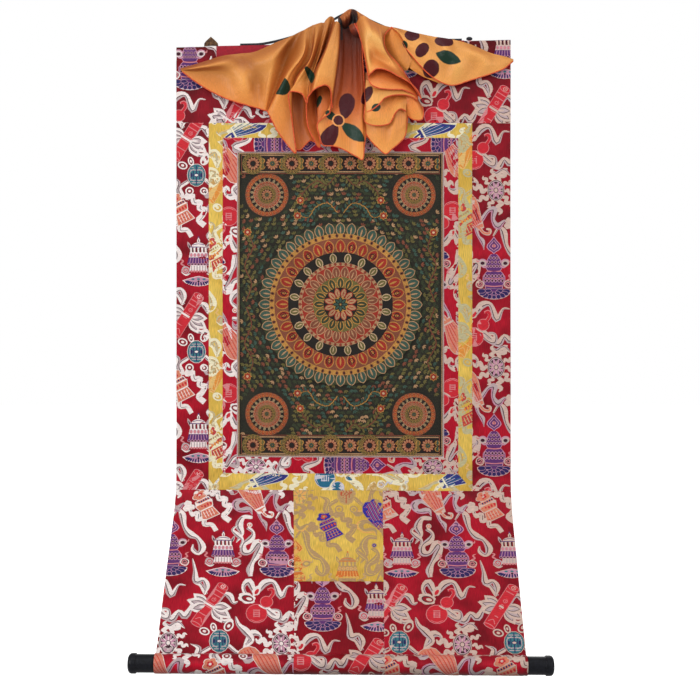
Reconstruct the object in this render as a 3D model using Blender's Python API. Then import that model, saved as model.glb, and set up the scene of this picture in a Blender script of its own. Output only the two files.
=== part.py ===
"""A hanging scroll painting: a picture in brocade borders, with a roller and a gathered silk cover.

The origin is the top of the hanging strap, where a nail would hold it. +Z is up, the painted
side looks towards -Y and +X is to the viewer's right. All sizes are in metres.

The strap and the batten lie in the plane y = 0, and the cloth hangs just in front of it. The
cloth is worked out on flat coordinates: u runs across from the cloth's middle line, and v
runs down the cloth from the height of the origin. The upper part hangs flat, and the lower
part keeps the curl of a stored scroll and comes forward to its roller.
"""

import math

import bmesh
import bpy
import numpy as np

# The cloth
CLOTH_WIDTH = 0.482
CLOTH_MIDDLE_X = -0.0108
CLOTH_THICKNESS = 0.0015
SEAM_GAP = 0.0003
TOP_EDGE_LEFT = 0.0515
TOP_EDGE_RIGHT = 0.0405
LOWER_SEAM = 0.691
SLEEVE_CREASE = 0.939
BOTTOM_FLARE = 0.026
BOTTOM_DRIFT = -0.0026
ROLLER_TILT = 0.006
UNEVENNESS = 0.0013

# The curl of the lower part
CURL_START = 0.662
CURL_RADIUS = 0.130
CURL_ANGLE = math.radians(36.0)

# The picture and its borders, from the picture outwards
PICTURE_WIDTH = 0.2955
PICTURE_TOP = 0.2045
PICTURE_BOTTOM = 0.6420
PICTURE_MIDDLE_U = -0.0043
PIPING_WIDTH = 0.0014
PIPING_THICKNESS = 0.0022
RED_SIDE = 0.0222
RED_TOP = 0.0215
RED_BOTTOM = 0.0250
YELLOW_SIDE = 0.0200
YELLOW_TOP = 0.0215

# The yellow patch and the panel under it, between two seams that draw together downwards
PATCH_BOTTOM = 0.8305
LEFT_SEAM = {"at lower seam": -0.0719, "at crease": -0.0609}
RIGHT_SEAM = {"at lower seam": 0.0566, "at crease": 0.0564}

# The top batten and the pocket round it
BATTEN_THICKNESS = 0.005
BATTEN_HEIGHT = 0.013
BATTEN_SHORTER = 0.001
BATTEN_BELOW_POCKET = 0.001
BATTEN_ROUNDING = 0.0012
POCKET_CLEARANCE = 0.0003
POCKET_BACK_HEIGHT = 0.014
POCKET_CLOSING = 0.0045
POCKET_END_GAP = 0.0012
POCKET_ARC_STEPS = 6

# The roller
ROD_RADIUS = 0.0115
SLEEVE_CLEARANCE = 0.0005
SLEEVE_STEPS = 18
SLEEVE_END_GAP = 0.0014
CAP_RADIUS = 0.01215
CAP_LENGTH = 0.0349
CAP_FLANGE_RADIUS = 0.0135
CAP_FLANGE_LENGTH = 0.0110
ROUND_SIDES = 32

# The strap, its knot, the folded tab and the heading band of the cover
STRAP_WIDTH = 0.0050
STRAP_THICKNESS = 0.0024
KNOT_WIDTH = 0.0095
KNOT_HEIGHT = 0.0050
KNOT_MIDDLE_X = 0.1710
TAB_WIDTH = 0.0200
TAB_HEIGHT = 0.0130
TAB_THICKNESS = 0.0020
TAB_MIDDLE_X = -0.2020
HEADING_LEFT_U = -0.1830
HEADING_RIGHT_U = 0.1740
HEADING_HEIGHT = 0.0185
HEADING_THICKNESS = 0.0010
HEADING_BELOW_TOP = 0.0008

# The strap's route, left end first: x, and height below its peak, both in millimetres
STRAP_ROUTE = (
    {"x": -160, "below": 48.2}, {"x": -135, "below": 46.4}, {"x": -108, "below": 41.5},
    {"x": -81, "below": 34.0}, {"x": -54, "below": 24.5}, {"x": -30, "below": 13.0},
    {"x": -12, "below": 3.2}, {"x": 0, "below": 0.0}, {"x": 12, "below": 3.2},
    {"x": 32, "below": 13.5}, {"x": 60, "below": 25.0}, {"x": 95, "below": 34.0},
    {"x": 130, "below": 39.0}, {"x": 160, "below": 40.2},
)

# The folds of the silk cover, left to right, in millimetres. Each row is one crease or ridge:
# x, height and distance in front of the cloth, at its upper end, half way, and at the hem.
COVER_THICKNESS = 0.0015
COVER_FOLDS = (
    {"fold": "left tip", "top": (-244, -82, 6), "mid": (-243, -85, 6), "hem": (-240, -89, 6)},
    {"fold": "left wing", "top": (-185, -67, 8), "mid": (-189, -94, 10), "hem": (-197, -120, 8)},
    {"fold": "left wing ridge", "top": (-128, -58, 10), "mid": (-140, -98, 16), "hem": (-155, -137, 10)},
    {"fold": "left wing valley", "top": (-82, -41, 12), "mid": (-100, -93, 12), "hem": (-119, -147, 9)},
    {"fold": "left tail ridge", "top": (-61, -27, 16), "mid": (-83, -104, 22), "hem": (-100, -183, 16)},
    {"fold": "left tail tip", "top": (-50, -24, 22), "mid": (-70, -109, 30), "hem": (-78, -208, 20)},
    {"fold": "left tail back", "top": (-41, -19, 14), "mid": (-57, -102, 14), "hem": (-67, -190, 8)},
    {"fold": "second ridge", "top": (-33, -16, 24), "mid": (-51, -104, 34), "hem": (-55, -191, 24)},
    {"fold": "second tip", "top": (-24, -15, 24), "mid": (-37, -107, 34), "hem": (-41, -200, 22)},
    {"fold": "second back", "top": (-19, -14, 10), "mid": (-26, -102, 10), "hem": (-30, -187, 8)},
    {"fold": "flap left", "top": (-12, -6, 3), "mid": (-17, -108, 7), "hem": (-23, -196, 11)},
    {"fold": "flap middle", "top": (-6, -2, 1), "mid": (-3, -113, 8), "hem": (-3, -205, 14)},
    {"fold": "flap tip", "top": (1, -1, 0.4), "mid": (10, -114, 14), "hem": (16, -216, 16)},
    {"fold": "flap right", "top": (8, -3, 3), "mid": (16, -113, 9), "hem": (22, -190, 9)},
    {"fold": "third ridge", "top": (15, -11, 18), "mid": (24, -106, 32), "hem": (31, -192, 22)},
    {"fold": "third tip", "top": (24, -16, 28), "mid": (47, -104, 36), "hem": (50, -209, 22)},
    {"fold": "fourth ridge", "top": (33, -20, 26), "mid": (64, -98, 34), "hem": (77, -185, 20)},
    {"fold": "right bulge", "top": (43, -23, 20), "mid": (84, -99, 26), "hem": (103, -157, 16)},
    {"fold": "right back", "top": (53, -26, 12), "mid": (76, -73, 12), "hem": (96, -115, 8)},
    {"fold": "right wing start", "top": (67, -31, 14), "mid": (82, -62, 14), "hem": (97, -86, 9)},
    {"fold": "right wing", "top": (106, -37, 12), "mid": (113, -68, 15), "hem": (116, -97, 9)},
    {"fold": "right wing middle", "top": (146, -43, 10), "mid": (149, -76, 12), "hem": (149, -108, 8)},
    {"fold": "right wing end", "top": (201, -62, 8), "mid": (197, -77, 9), "hem": (191, -95, 8)},
    {"fold": "right tip", "top": (230, -69, 6), "mid": (231, -72, 6), "hem": (229, -76, 6)},
)
COVER_STEPS_BETWEEN_FOLDS = 3
COVER_STEPS_DOWN = 9

HALF_CLOTH = CLOTH_THICKNESS / 2
HALF_WIDTH = CLOTH_WIDTH / 2
POCKET_REACH = BATTEN_THICKNESS / 2 + POCKET_CLEARANCE + HALF_CLOTH
SLEEVE_RADIUS = ROD_RADIUS + SLEEVE_CLEARANCE + HALF_CLOTH
CURL_LENGTH = CURL_RADIUS * CURL_ANGLE
SLEEVE_END_TURN = 2 * math.pi - math.asin(SLEEVE_END_GAP / SLEEVE_RADIUS)
SLEEVE_END = SLEEVE_CREASE + SLEEVE_RADIUS * SLEEVE_END_TURN


def clear_scene():
    """Remove whatever the scene starts with."""
    for old in list(bpy.data.objects):
        bpy.data.objects.remove(old, do_unlink=True)


def material(name, colour, roughness, metallic=0.0):
    """A plain surface of one colour."""
    made = bpy.data.materials.new(name)
    made.use_nodes = True
    shader = made.node_tree.nodes["Principled BSDF"]
    shader.inputs["Base Color"].default_value = (*colour, 1.0)
    shader.inputs["Roughness"].default_value = roughness
    shader.inputs["Metallic"].default_value = metallic
    return made


def add_object(name, mesh, surface, smooth_angle=35.0):
    """Put a mesh in the scene, smooth except at its sharp edges."""
    mesh.materials.append(surface)
    mesh.shade_smooth()
    mesh.set_sharp_from_angle(angle=math.radians(smooth_angle))
    made = bpy.data.objects.new(name, mesh)
    bpy.context.scene.collection.objects.link(made)
    return made


# ---- the shape in which the cloth hangs ----

def hang_section(v):
    """Side view of the cloth at v: a plumb line, an arc, a sloping line, and the sleeve's circle.

    Returns y, z, and the y and z of the vector that the face is lifted along, which is
    longer at the sleeve's crease, where two directions meet.
    """
    turn = np.clip((v - CURL_START) / CURL_RADIUS, 0.0, CURL_ANGLE)
    straight = np.clip(v, None, CURL_START)
    slope = np.clip(v, None, SLEEVE_CREASE) - CURL_START - CURL_LENGTH
    slope = np.clip(slope, 0.0, None)
    y = -POCKET_REACH - CURL_RADIUS * (1 - np.cos(turn)) - slope * math.sin(CURL_ANGLE)
    z = -straight - CURL_RADIUS * np.sin(turn) - slope * math.cos(CURL_ANGLE)
    normal_y = -np.cos(turn)
    normal_z = np.sin(turn)

    down = np.array([-math.sin(CURL_ANGLE), -math.cos(CURL_ANGLE)])
    front = np.array([-math.cos(CURL_ANGLE), math.sin(CURL_ANGLE)])
    wound = np.clip(v - SLEEVE_CREASE, 0.0, None) / SLEEVE_RADIUS
    out_y = -np.cos(wound) * down[0] + np.sin(wound) * front[0]
    out_z = -np.cos(wound) * down[1] + np.sin(wound) * front[1]
    y = y + SLEEVE_RADIUS * (down[0] + out_y)
    z = z + SLEEVE_RADIUS * (down[1] + out_z)
    in_sleeve = v > SLEEVE_CREASE + 1e-7
    at_crease = np.abs(v - SLEEVE_CREASE) <= 1e-7
    normal_y = np.where(in_sleeve, out_y, normal_y)
    normal_z = np.where(in_sleeve, out_z, normal_z)
    normal_y = np.where(at_crease, front[0] - down[0], normal_y)
    normal_z = np.where(at_crease, front[1] - down[1], normal_z)
    return y, z, normal_y, normal_z


def unevenness(u, v):
    """How far the hanging cloth stands forward: soft waves that die out at batten and roller."""
    free = np.clip((v - 0.075) / 0.15, 0.0, 1.0) * np.clip((SLEEVE_CREASE - 0.01 - v) / 0.10, 0.0, 1.0)
    waves = np.sin(14.0 * u + 5.0 * v + 0.4) + 0.6 * np.sin(9.0 * v - 21.0 * u + 1.3)
    return UNEVENNESS * free * waves


def cloth_points(u, v, lift):
    """Points on the hanging cloth, each lifted by its distance in front of the middle layer."""
    down_share = np.clip(v, 0.0, SLEEVE_CREASE) / SLEEVE_CREASE
    flare_share = np.clip((v - LOWER_SEAM) / (SLEEVE_CREASE - LOWER_SEAM), 0.0, 1.0)
    y, z, normal_y, normal_z = hang_section(v)
    lifted = lift + unevenness(u, v)
    x = CLOTH_MIDDLE_X + u * (1 + BOTTOM_FLARE * flare_share) + BOTTOM_DRIFT * flare_share
    z = z - ROLLER_TILT * u * down_share
    return np.stack([x, y + normal_y * lifted, z + normal_z * lifted], axis=-1)


def closed_sheet(name, front, back, surface):
    """A solid between two grids of points: its two faces, and a rim of quads round the edge."""
    rows, columns = front.shape[:2]
    number = np.arange(rows * columns).reshape(rows, columns)
    behind = number + rows * columns
    corner = [number[:-1, :-1], number[1:, :-1], number[1:, 1:], number[:-1, 1:]]
    face_front = np.stack([c.ravel() for c in corner], axis=1)
    face_back = face_front[:, ::-1] + rows * columns
    edge = np.concatenate([number[:, 0], number[-1, 1:], number[-2::-1, -1], number[0, -2:0:-1]])
    edge_behind = behind.ravel()[edge]
    following = np.roll(edge, -1)
    following_behind = np.roll(edge_behind, -1)
    rim = np.stack([edge, edge_behind, following_behind, following], axis=1)
    faces = np.concatenate([face_front, face_back, rim])
    points = np.concatenate([front.reshape(-1, 3), back.reshape(-1, 3)])
    mesh = bpy.data.meshes.new(name)
    mesh.from_pydata(points.tolist(), [], faces.tolist())
    return add_object(name, mesh, surface)


def inset_corners(corners, distance):
    """Move each side of a four-cornered piece inwards by the same distance."""
    corners = [np.array(corner) for corner in corners]
    moved = []
    for index, corner in enumerate(corners):
        before = corner - corners[index - 1]
        after = corners[(index + 1) % 4] - corner
        normals = [np.array([-side[1], side[0]]) / np.linalg.norm(side) for side in (before, after)]
        step = np.linalg.solve(np.array(normals), np.array([distance, distance]))
        moved.append(corner + step)
    return moved


def cloth_panel(name, corners, columns, stations, surface, thickness=CLOTH_THICKNESS, lift=0.0):
    """A flat-cut piece by its corners, top left, top right, bottom right and bottom left.

    The corners are flat (u, v) pairs on the seam lines. The stations are the shares of its
    height at which it has a row of points.
    """
    top_left, top_right, bottom_right, bottom_left = inset_corners(corners, SEAM_GAP / 2)
    across = np.linspace(0.0, 1.0, columns + 1)[None, :, None]
    share = np.asarray(stations)[:, None, None]
    top = top_left * (1 - across) + top_right * across
    bottom = bottom_left * (1 - across) + bottom_right * across
    flat = top * (1 - share) + bottom * share
    front = cloth_points(flat[..., 0], flat[..., 1], lift + thickness / 2)
    back = cloth_points(flat[..., 0], flat[..., 1], lift - thickness / 2)
    return closed_sheet(name, front, back, surface)


def even(steps):
    """Evenly spaced shares from 0 to 1."""
    return np.linspace(0.0, 1.0, steps + 1)


# ---- the picture and its borders ----

def picture_edge(grow_side, grow_top, grow_bottom):
    """The corners of the picture's rectangle, grown by a border on each side."""
    half = PICTURE_WIDTH / 2 + grow_side
    left = PICTURE_MIDDLE_U - half
    right = PICTURE_MIDDLE_U + half
    top = PICTURE_TOP - grow_top
    bottom = PICTURE_BOTTOM + grow_bottom
    return (left, top), (right, top), (right, bottom), (left, bottom)


def mitred_frame(name, inner, outer, surface, thickness=CLOTH_THICKNESS):
    """Four strips between two rectangles, each cut across at its corners."""
    cuts = {
        "top": (outer[0], outer[1], inner[1], inner[0]),
        "right": (inner[1], outer[1], outer[2], inner[2]),
        "bottom": (inner[3], inner[2], outer[2], outer[3]),
        "left": (outer[0], inner[0], inner[3], outer[3]),
    }
    for side, corners in cuts.items():
        lengthways = side in ("left", "right")
        columns = 1 if lengthways else 10
        rows = 16 if lengthways else 1
        cloth_panel(f"{name}_{side}", corners, columns, even(rows), surface, thickness)


def picture_and_borders():
    """The canvas, its fine piping, the red strips and the yellow strips."""
    canvas = picture_edge(0, 0, 0)
    piped = picture_edge(PIPING_WIDTH, PIPING_WIDTH, PIPING_WIDTH)
    red = picture_edge(RED_SIDE, RED_TOP, RED_BOTTOM)
    yellow = picture_edge(RED_SIDE + YELLOW_SIDE, RED_TOP + YELLOW_TOP, 0)
    yellow = (yellow[0], yellow[1], (yellow[2][0], LOWER_SEAM), (yellow[3][0], LOWER_SEAM))
    cloth_panel("picture_canvas", canvas, 10, even(16), material("picture", (0.10, 0.08, 0.05), 0.85))
    pale_cord = material("piping", (0.75, 0.60, 0.58), 0.7)
    mitred_frame("picture_piping", canvas, piped, pale_cord, PIPING_THICKNESS)
    mitred_frame("red_border", piped, red, material("red_strip", (0.42, 0.02, 0.05), 0.6))
    mitred_frame("yellow_border", red, yellow, material("yellow_strip", (0.72, 0.48, 0.08), 0.6))
    return yellow


# ---- the outer field ----

def pocket_path():
    """Side view of the pocket for the batten: y and height above the middle of its round top."""
    turns = np.linspace(0.0, math.pi, POCKET_ARC_STEPS + 1)
    path = [(-POCKET_REACH * math.cos(turn), POCKET_REACH * math.sin(turn)) for turn in turns]
    path.append((POCKET_REACH, -POCKET_BACK_HEIGHT))
    path.append((HALF_CLOTH + POCKET_END_GAP - POCKET_REACH, -POCKET_BACK_HEIGHT - POCKET_CLOSING))
    return np.array(path)


def path_normals(path):
    """The mitred normal at each point of a side view, on the side that faces the viewer."""
    along = np.diff(path, axis=0)
    along /= np.linalg.norm(along, axis=1, keepdims=True)
    before = np.vstack([along[:1], along])
    after = np.vstack([along, along[-1:]])
    left_before = np.stack([-before[:, 1], before[:, 0]], axis=1)
    left_after = np.stack([-after[:, 1], after[:, 0]], axis=1)
    together = left_before + left_after
    return 2 * together / np.sum(together * together, axis=1, keepdims=True)


def outer_top_panel(bottom, surface):
    """The top of the outer field, which rises, turns over the batten and closes behind it."""
    pocket = pocket_path()
    rise_shares = np.array([1.0, 0.6, 0.3])
    rises = len(rise_shares)
    columns = 16
    u = np.linspace(-HALF_WIDTH, HALF_WIDTH, columns + 1)
    edge = np.linspace(TOP_EDGE_LEFT, TOP_EDGE_RIGHT, columns + 1) + HALF_CLOTH + POCKET_REACH
    plumb = np.stack([np.full(rises, -POCKET_REACH), -rise_shares], axis=1)
    path = np.vstack([plumb, pocket])
    normals = path_normals(path)
    height = np.repeat(path[:, 1:2], columns + 1, axis=1)
    height[:rises] = -rise_shares[:, None] * (bottom - SEAM_GAP / 2 - edge)
    v = edge - height
    across = np.broadcast_to(u, v.shape)
    wave = np.zeros_like(v)
    wave[:rises] = unevenness(across, v)[:rises]
    faces = []
    for side in (HALF_CLOTH, -HALF_CLOTH):
        x = CLOTH_MIDDLE_X + across
        y = path[:, :1] + normals[:, :1] * side - wave
        z = -v + normals[:, 1:] * side - ROLLER_TILT * across * v / SLEEVE_CREASE
        faces.append(np.stack([x, y, z], axis=-1)[::-1])
    return closed_sheet("outer_top", faces[0], faces[1], surface)


def lower_stations(top):
    """Rows of a lower panel: over the curl, down the slope, and round the roller."""
    curl_end = CURL_START + CURL_LENGTH
    curl = np.linspace(top, curl_end, 5)[:-1] if top < curl_end else np.array([])
    slope = np.linspace(max(top, curl_end), SLEEVE_CREASE, 6)
    sleeve = np.linspace(SLEEVE_CREASE, SLEEVE_END, SLEEVE_STEPS + 1)[1:]
    return np.concatenate([curl, slope, sleeve])


def lower_panel(name, left, right, top, columns, surface):
    """A panel under the borders, with its part of the roller's sleeve.

    left and right give the panel's side seams, as u at the lower seam and at the crease.
    """
    v = lower_stations(top + SEAM_GAP / 2)
    share = np.clip((v - LOWER_SEAM) / (SLEEVE_CREASE - LOWER_SEAM), 0.0, 1.0)
    left_u = left[0] * (1 - share) + left[1] * share
    right_u = right[0] * (1 - share) + right[1] * share
    across = np.linspace(0.0, 1.0, columns + 1)[None, :]
    u = left_u[:, None] * (1 - across) + right_u[:, None] * across
    v = np.broadcast_to(v[:, None], u.shape)
    front = cloth_points(u, v, HALF_CLOTH)
    back = cloth_points(u, v, -HALF_CLOTH)
    return closed_sheet(name, front, back, surface)


def outer_field(yellow):
    """Top, sides and the three lower panels of the outer brocade, with the yellow patch."""
    red = material("red_brocade", (0.40, 0.015, 0.05), 0.6)
    frame_top = yellow[0][1]
    left_in = yellow[0][0]
    right_in = yellow[1][0]
    outer_top_panel(frame_top, red)
    edge = HALF_WIDTH
    left = ((-edge, frame_top), (left_in, frame_top), (left_in, LOWER_SEAM), (-edge, LOWER_SEAM))
    right = ((right_in, frame_top), (edge, frame_top), (edge, LOWER_SEAM), (right_in, LOWER_SEAM))
    cloth_panel("outer_left", left, 2, even(16), red)
    cloth_panel("outer_right", right, 2, even(16), red)

    left_seam = tuple(LEFT_SEAM.values())
    right_seam = tuple(RIGHT_SEAM.values())
    lower_panel("lower_left", (-edge, -edge), beside(left_seam, -1), LOWER_SEAM, 6, red)
    lower_panel("lower_centre", beside(left_seam, 1), beside(right_seam, -1), PATCH_BOTTOM, 4, red)
    lower_panel("lower_right", beside(right_seam, 1), (edge, edge), LOWER_SEAM, 6, red)
    patch = (
        (left_seam[0], LOWER_SEAM),
        (right_seam[0], LOWER_SEAM),
        (seam_at_patch_bottom(right_seam), PATCH_BOTTOM),
        (seam_at_patch_bottom(left_seam), PATCH_BOTTOM),
    )
    cloth_panel("patch", patch, 4, even(8), material("yellow_patch", (0.78, 0.52, 0.09), 0.6))


def seam_at_patch_bottom(seam):
    """u on a side seam where the patch ends."""
    share = (PATCH_BOTTOM - LOWER_SEAM) / (SLEEVE_CREASE - LOWER_SEAM)
    return seam[0] * (1 - share) + seam[1] * share


def beside(seam, side):
    """A side seam moved by half the seam gap, to the right (1) or to the left (-1)."""
    return seam[0] + side * SEAM_GAP / 2, seam[1] + side * SEAM_GAP / 2


# ---- the batten, the roller and the small fittings ----

def top_edge_height(x):
    """The height of the outside of the pocket at x."""
    share = (x - CLOTH_MIDDLE_X) / CLOTH_WIDTH + 0.5
    down = TOP_EDGE_LEFT * (1 - share) + TOP_EDGE_RIGHT * share
    return -down - ROLLER_TILT * (x - CLOTH_MIDDLE_X) * down / SLEEVE_CREASE


def top_batten():
    """A flat wooden bar in the pocket, as tilted as the top edge."""
    length = CLOTH_WIDTH - BATTEN_SHORTER
    mesh = bpy.data.meshes.new("top_batten")
    solid = bmesh.new()
    bmesh.ops.create_cube(solid, size=1.0)
    bmesh.ops.scale(solid, vec=(length, BATTEN_THICKNESS, BATTEN_HEIGHT), verts=solid.verts)
    long_edges = [edge for edge in solid.edges if abs(edge.verts[0].co.x - edge.verts[1].co.x) > length / 2]
    bmesh.ops.bevel(solid, geom=long_edges, offset=BATTEN_ROUNDING, segments=2, affect="EDGES")
    solid.to_mesh(mesh)
    solid.free()
    batten = add_object("top_batten", mesh, material("batten_wood", (0.05, 0.03, 0.025), 0.6))
    rise = top_edge_height(CLOTH_MIDDLE_X + HALF_WIDTH) - top_edge_height(CLOTH_MIDDLE_X - HALF_WIDTH)
    middle = top_edge_height(CLOTH_MIDDLE_X) - CLOTH_THICKNESS - BATTEN_BELOW_POCKET - BATTEN_HEIGHT / 2
    batten.location = (CLOTH_MIDDLE_X, 0.0, middle)
    batten.rotation_euler = (0.0, -math.atan2(rise, CLOTH_WIDTH), 0.0)
    return batten


def turned(name, profile, surface):
    """Turn a side view, pairs of a place along X and a radius, round the X axis."""
    mesh = bpy.data.meshes.new(name)
    solid = bmesh.new()
    points = [solid.verts.new((along, 0.0, radius)) for along, radius in profile]
    edges = [solid.edges.new(pair) for pair in zip(points[:-1], points[1:])]
    bmesh.ops.spin(
        solid, geom=points + edges, cent=(0, 0, 0), axis=(1, 0, 0), angle=2 * math.pi,
        steps=ROUND_SIDES, use_duplicate=False,
    )
    bmesh.ops.remove_doubles(solid, verts=solid.verts, dist=1e-6)
    bmesh.ops.recalc_face_normals(solid, faces=solid.faces)
    solid.to_mesh(mesh)
    solid.free()
    return add_object(name, mesh, surface)


def roller():
    """The rod inside the sleeve and a turned black cap on each end."""
    y, z, _, _ = hang_section(np.array(SLEEVE_CREASE))
    centre_y = float(y) - SLEEVE_RADIUS * math.sin(CURL_ANGLE)
    centre_z = float(z) - SLEEVE_RADIUS * math.cos(CURL_ANGLE)
    half = HALF_WIDTH * (1 + BOTTOM_FLARE) + SEAM_GAP
    place = (CLOTH_MIDDLE_X + BOTTOM_DRIFT, centre_y, centre_z)
    tilt = math.atan(ROLLER_TILT / (1 + BOTTOM_FLARE))
    rod = turned("roller_rod", [(-half, 0), (-half, ROD_RADIUS), (half, ROD_RADIUS), (half, 0)],
                 material("rod_wood", (0.45, 0.30, 0.18), 0.6))
    rod.location = place
    rod.rotation_euler = (0.0, tilt, 0.0)

    neck = CAP_LENGTH - CAP_FLANGE_LENGTH
    dome = CAP_FLANGE_LENGTH * 0.45
    profile = [(0, 0), (0, CAP_RADIUS - 0.0004), (0.0004, CAP_RADIUS), (neck - 0.0006, CAP_RADIUS),
               (neck, CAP_RADIUS + 0.0002), (neck, CAP_FLANGE_RADIUS - 0.0006),
               (neck + 0.0006, CAP_FLANGE_RADIUS), (CAP_LENGTH - dome, CAP_FLANGE_RADIUS)]
    for step in range(1, 5):
        turn = step * math.pi / 8
        along = CAP_LENGTH - dome + dome * math.sin(turn)
        profile.append((along, CAP_FLANGE_RADIUS * (1 - 0.5 * (1 - math.cos(turn)))))
    profile.append((CAP_LENGTH, 0.0))
    black = material("cap_black", (0.012, 0.012, 0.014), 0.35)
    for side, sign in (("left", -1), ("right", 1)):
        outward = [(sign * (half + SEAM_GAP + along), radius) for along, radius in profile]
        cap = turned(f"roller_cap_{side}", outward, black)
        cap.location = place
        cap.rotation_euler = (0.0, tilt, 0.0)


def smooth_route(points, steps):
    """A smooth curve through the points (Catmull-Rom), with a few steps between each two."""
    points = np.asarray(points, dtype=float)
    padded = np.vstack([2 * points[0] - points[1], points, 2 * points[-1] - points[-2]])
    t = np.linspace(0.0, 1.0, steps, endpoint=False)[:, None]
    pieces = []
    for index in range(1, len(padded) - 2):
        p0, p1, p2, p3 = padded[index - 1:index + 3]
        bend = 2 * p1 + (p2 - p0) * t + (2 * p0 - 5 * p1 + 4 * p2 - p3) * t ** 2
        pieces.append(0.5 * (bend + (3 * p1 - p0 - 3 * p2 + p3) * t ** 3))
    pieces.append(points[-1:])
    return np.vstack(pieces)


def hanging_strap():
    """A flat dark strap, from the top edge up to its peak and down again."""
    route = smooth_route([(row["x"] / 1000, -row["below"] / 1000) for row in STRAP_ROUTE], 3)
    route[:, 1] -= STRAP_THICKNESS / 2
    normals = path_normals(route)
    floor = np.array([top_edge_height(x) for x in route[:, 0]]) + STRAP_THICKNESS / 2 + SEAM_GAP
    route[:, 1] = np.maximum(route[:, 1], floor)
    faces = []
    for side in (STRAP_THICKNESS / 2, -STRAP_THICKNESS / 2):
        edge = route + normals * side
        near = np.stack([edge[:, 0], np.full(len(edge), -STRAP_WIDTH / 2), edge[:, 1]], axis=-1)
        far = near + np.array([0.0, STRAP_WIDTH, 0.0])
        faces.append(np.stack([far, near], axis=0))
    dark = material("strap_cloth", (0.05, 0.05, 0.055), 0.8)
    return closed_sheet("hanging_strap", faces[0], faces[1], dark)


def strap_knot():
    """The small dark knot at the right end of the strap, on the top edge."""
    mesh = bpy.data.meshes.new("strap_knot")
    solid = bmesh.new()
    bmesh.ops.create_icosphere(solid, subdivisions=2, radius=0.5)
    bmesh.ops.scale(solid, vec=(KNOT_WIDTH, STRAP_WIDTH * 1.2, KNOT_HEIGHT * 1.2), verts=solid.verts)
    floor = -KNOT_HEIGHT * 0.45
    below = [vert for vert in solid.verts if vert.co.z < floor]
    for vert in below:
        vert.co.z = floor
    solid.to_mesh(mesh)
    solid.free()
    knot = add_object("strap_knot", mesh, material("knot_cloth", (0.03, 0.03, 0.035), 0.8))
    seat = top_edge_height(KNOT_MIDDLE_X + KNOT_WIDTH / 2)
    knot.location = (KNOT_MIDDLE_X, 0.0, seat - floor + SEAM_GAP)
    return knot


def corner_tab():
    """A folded brocade tab that stands on the top edge, pointed like a small tent."""
    x = TAB_MIDDLE_X + np.array([-0.5, -0.36, 0.0, 0.36, 0.5]) * TAB_WIDTH
    rise = np.array([0.30, 0.55, 1.0, 0.52, 0.26]) * TAB_HEIGHT
    bulge = np.array([0.0, 0.0012, 0.0030, 0.0012, 0.0])
    foot = np.array([top_edge_height(value) for value in x]) + SEAM_GAP
    faces = []
    for side in (-0.5, 0.5):
        y = side * TAB_THICKNESS - bulge
        upper = np.stack([x, y, foot + rise], axis=-1)
        lower = np.stack([x, y, foot], axis=-1)
        faces.append(np.stack([upper, (upper + lower) / 2, lower], axis=0))
    return closed_sheet("corner_tab", faces[0], faces[1], material("tab_brocade", (0.12, 0.05, 0.03), 0.7))


def heading_band():
    """The plain red band along the top edge, to which the cover is sewn."""
    columns = 16
    u = np.linspace(HEADING_LEFT_U, HEADING_RIGHT_U, columns + 1)
    top = -top_edge_height(CLOTH_MIDDLE_X + u) + HEADING_BELOW_TOP
    share = even(2)[:, None]
    v = top[None, :] + share * HEADING_HEIGHT
    across = np.broadcast_to(u, v.shape)
    lift = HALF_CLOTH + SEAM_GAP + HEADING_THICKNESS / 2
    faces = []
    for side in (HEADING_THICKNESS / 2, -HEADING_THICKNESS / 2):
        y = -(POCKET_REACH + lift + side) - unevenness(across, v)
        faces.append(np.stack([CLOTH_MIDDLE_X + across, y, -v], axis=-1))
    return closed_sheet("heading_band", faces[0], faces[1], material("heading_red", (0.45, 0.01, 0.04), 0.6))


# ---- the silk cover ----

def silk_cover():
    """The gathered cover as one sheet, drawn through its folds from the gather to the hem."""
    tops = np.array([row["top"] for row in COVER_FOLDS], dtype=float) / 1000
    mids = np.array([row["mid"] for row in COVER_FOLDS], dtype=float) / 1000
    hems = np.array([row["hem"] for row in COVER_FOLDS], dtype=float) / 1000
    rails = [smooth_route(rail, COVER_STEPS_BETWEEN_FOLDS) for rail in (tops, mids, hems)]
    down = even(COVER_STEPS_DOWN)[:, None, None]
    through = 2 * rails[1] - (rails[0] + rails[2]) / 2
    sheet = (1 - down) ** 2 * rails[0] + 2 * down * (1 - down) * through + down ** 2 * rails[2]
    middle = np.stack([sheet[..., 0], -POCKET_REACH - sheet[..., 2], sheet[..., 1]], axis=-1)
    along = np.gradient(middle, axis=1)
    downward = np.gradient(middle, axis=0)
    normal = np.cross(downward, along)
    normal /= np.linalg.norm(normal, axis=-1, keepdims=True)
    front = middle + normal * COVER_THICKNESS / 2
    back = middle - normal * COVER_THICKNESS / 2
    return closed_sheet("silk_cover", front, back, material("orange_silk", (0.80, 0.33, 0.07), 0.45))


def build():
    """Make every piece."""
    clear_scene()
    yellow = picture_and_borders()
    outer_field(yellow)
    top_batten()
    roller()
    hanging_strap()
    strap_knot()
    corner_tab()
    heading_band()
    silk_cover()


build()
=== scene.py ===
# %% [markdown]
# # A hanging scroll painting
#
# The object is a picture on canvas in strips of brocade, with a roller below, a flat batten
# above, a strap to hang it by and a cover of orange silk that is gathered at the middle.
# The construction model gives every solid its place. This script keeps the hard pieces, and
# puts fine cloth, woven ornament and silk where the plain cloth solids are.

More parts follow.
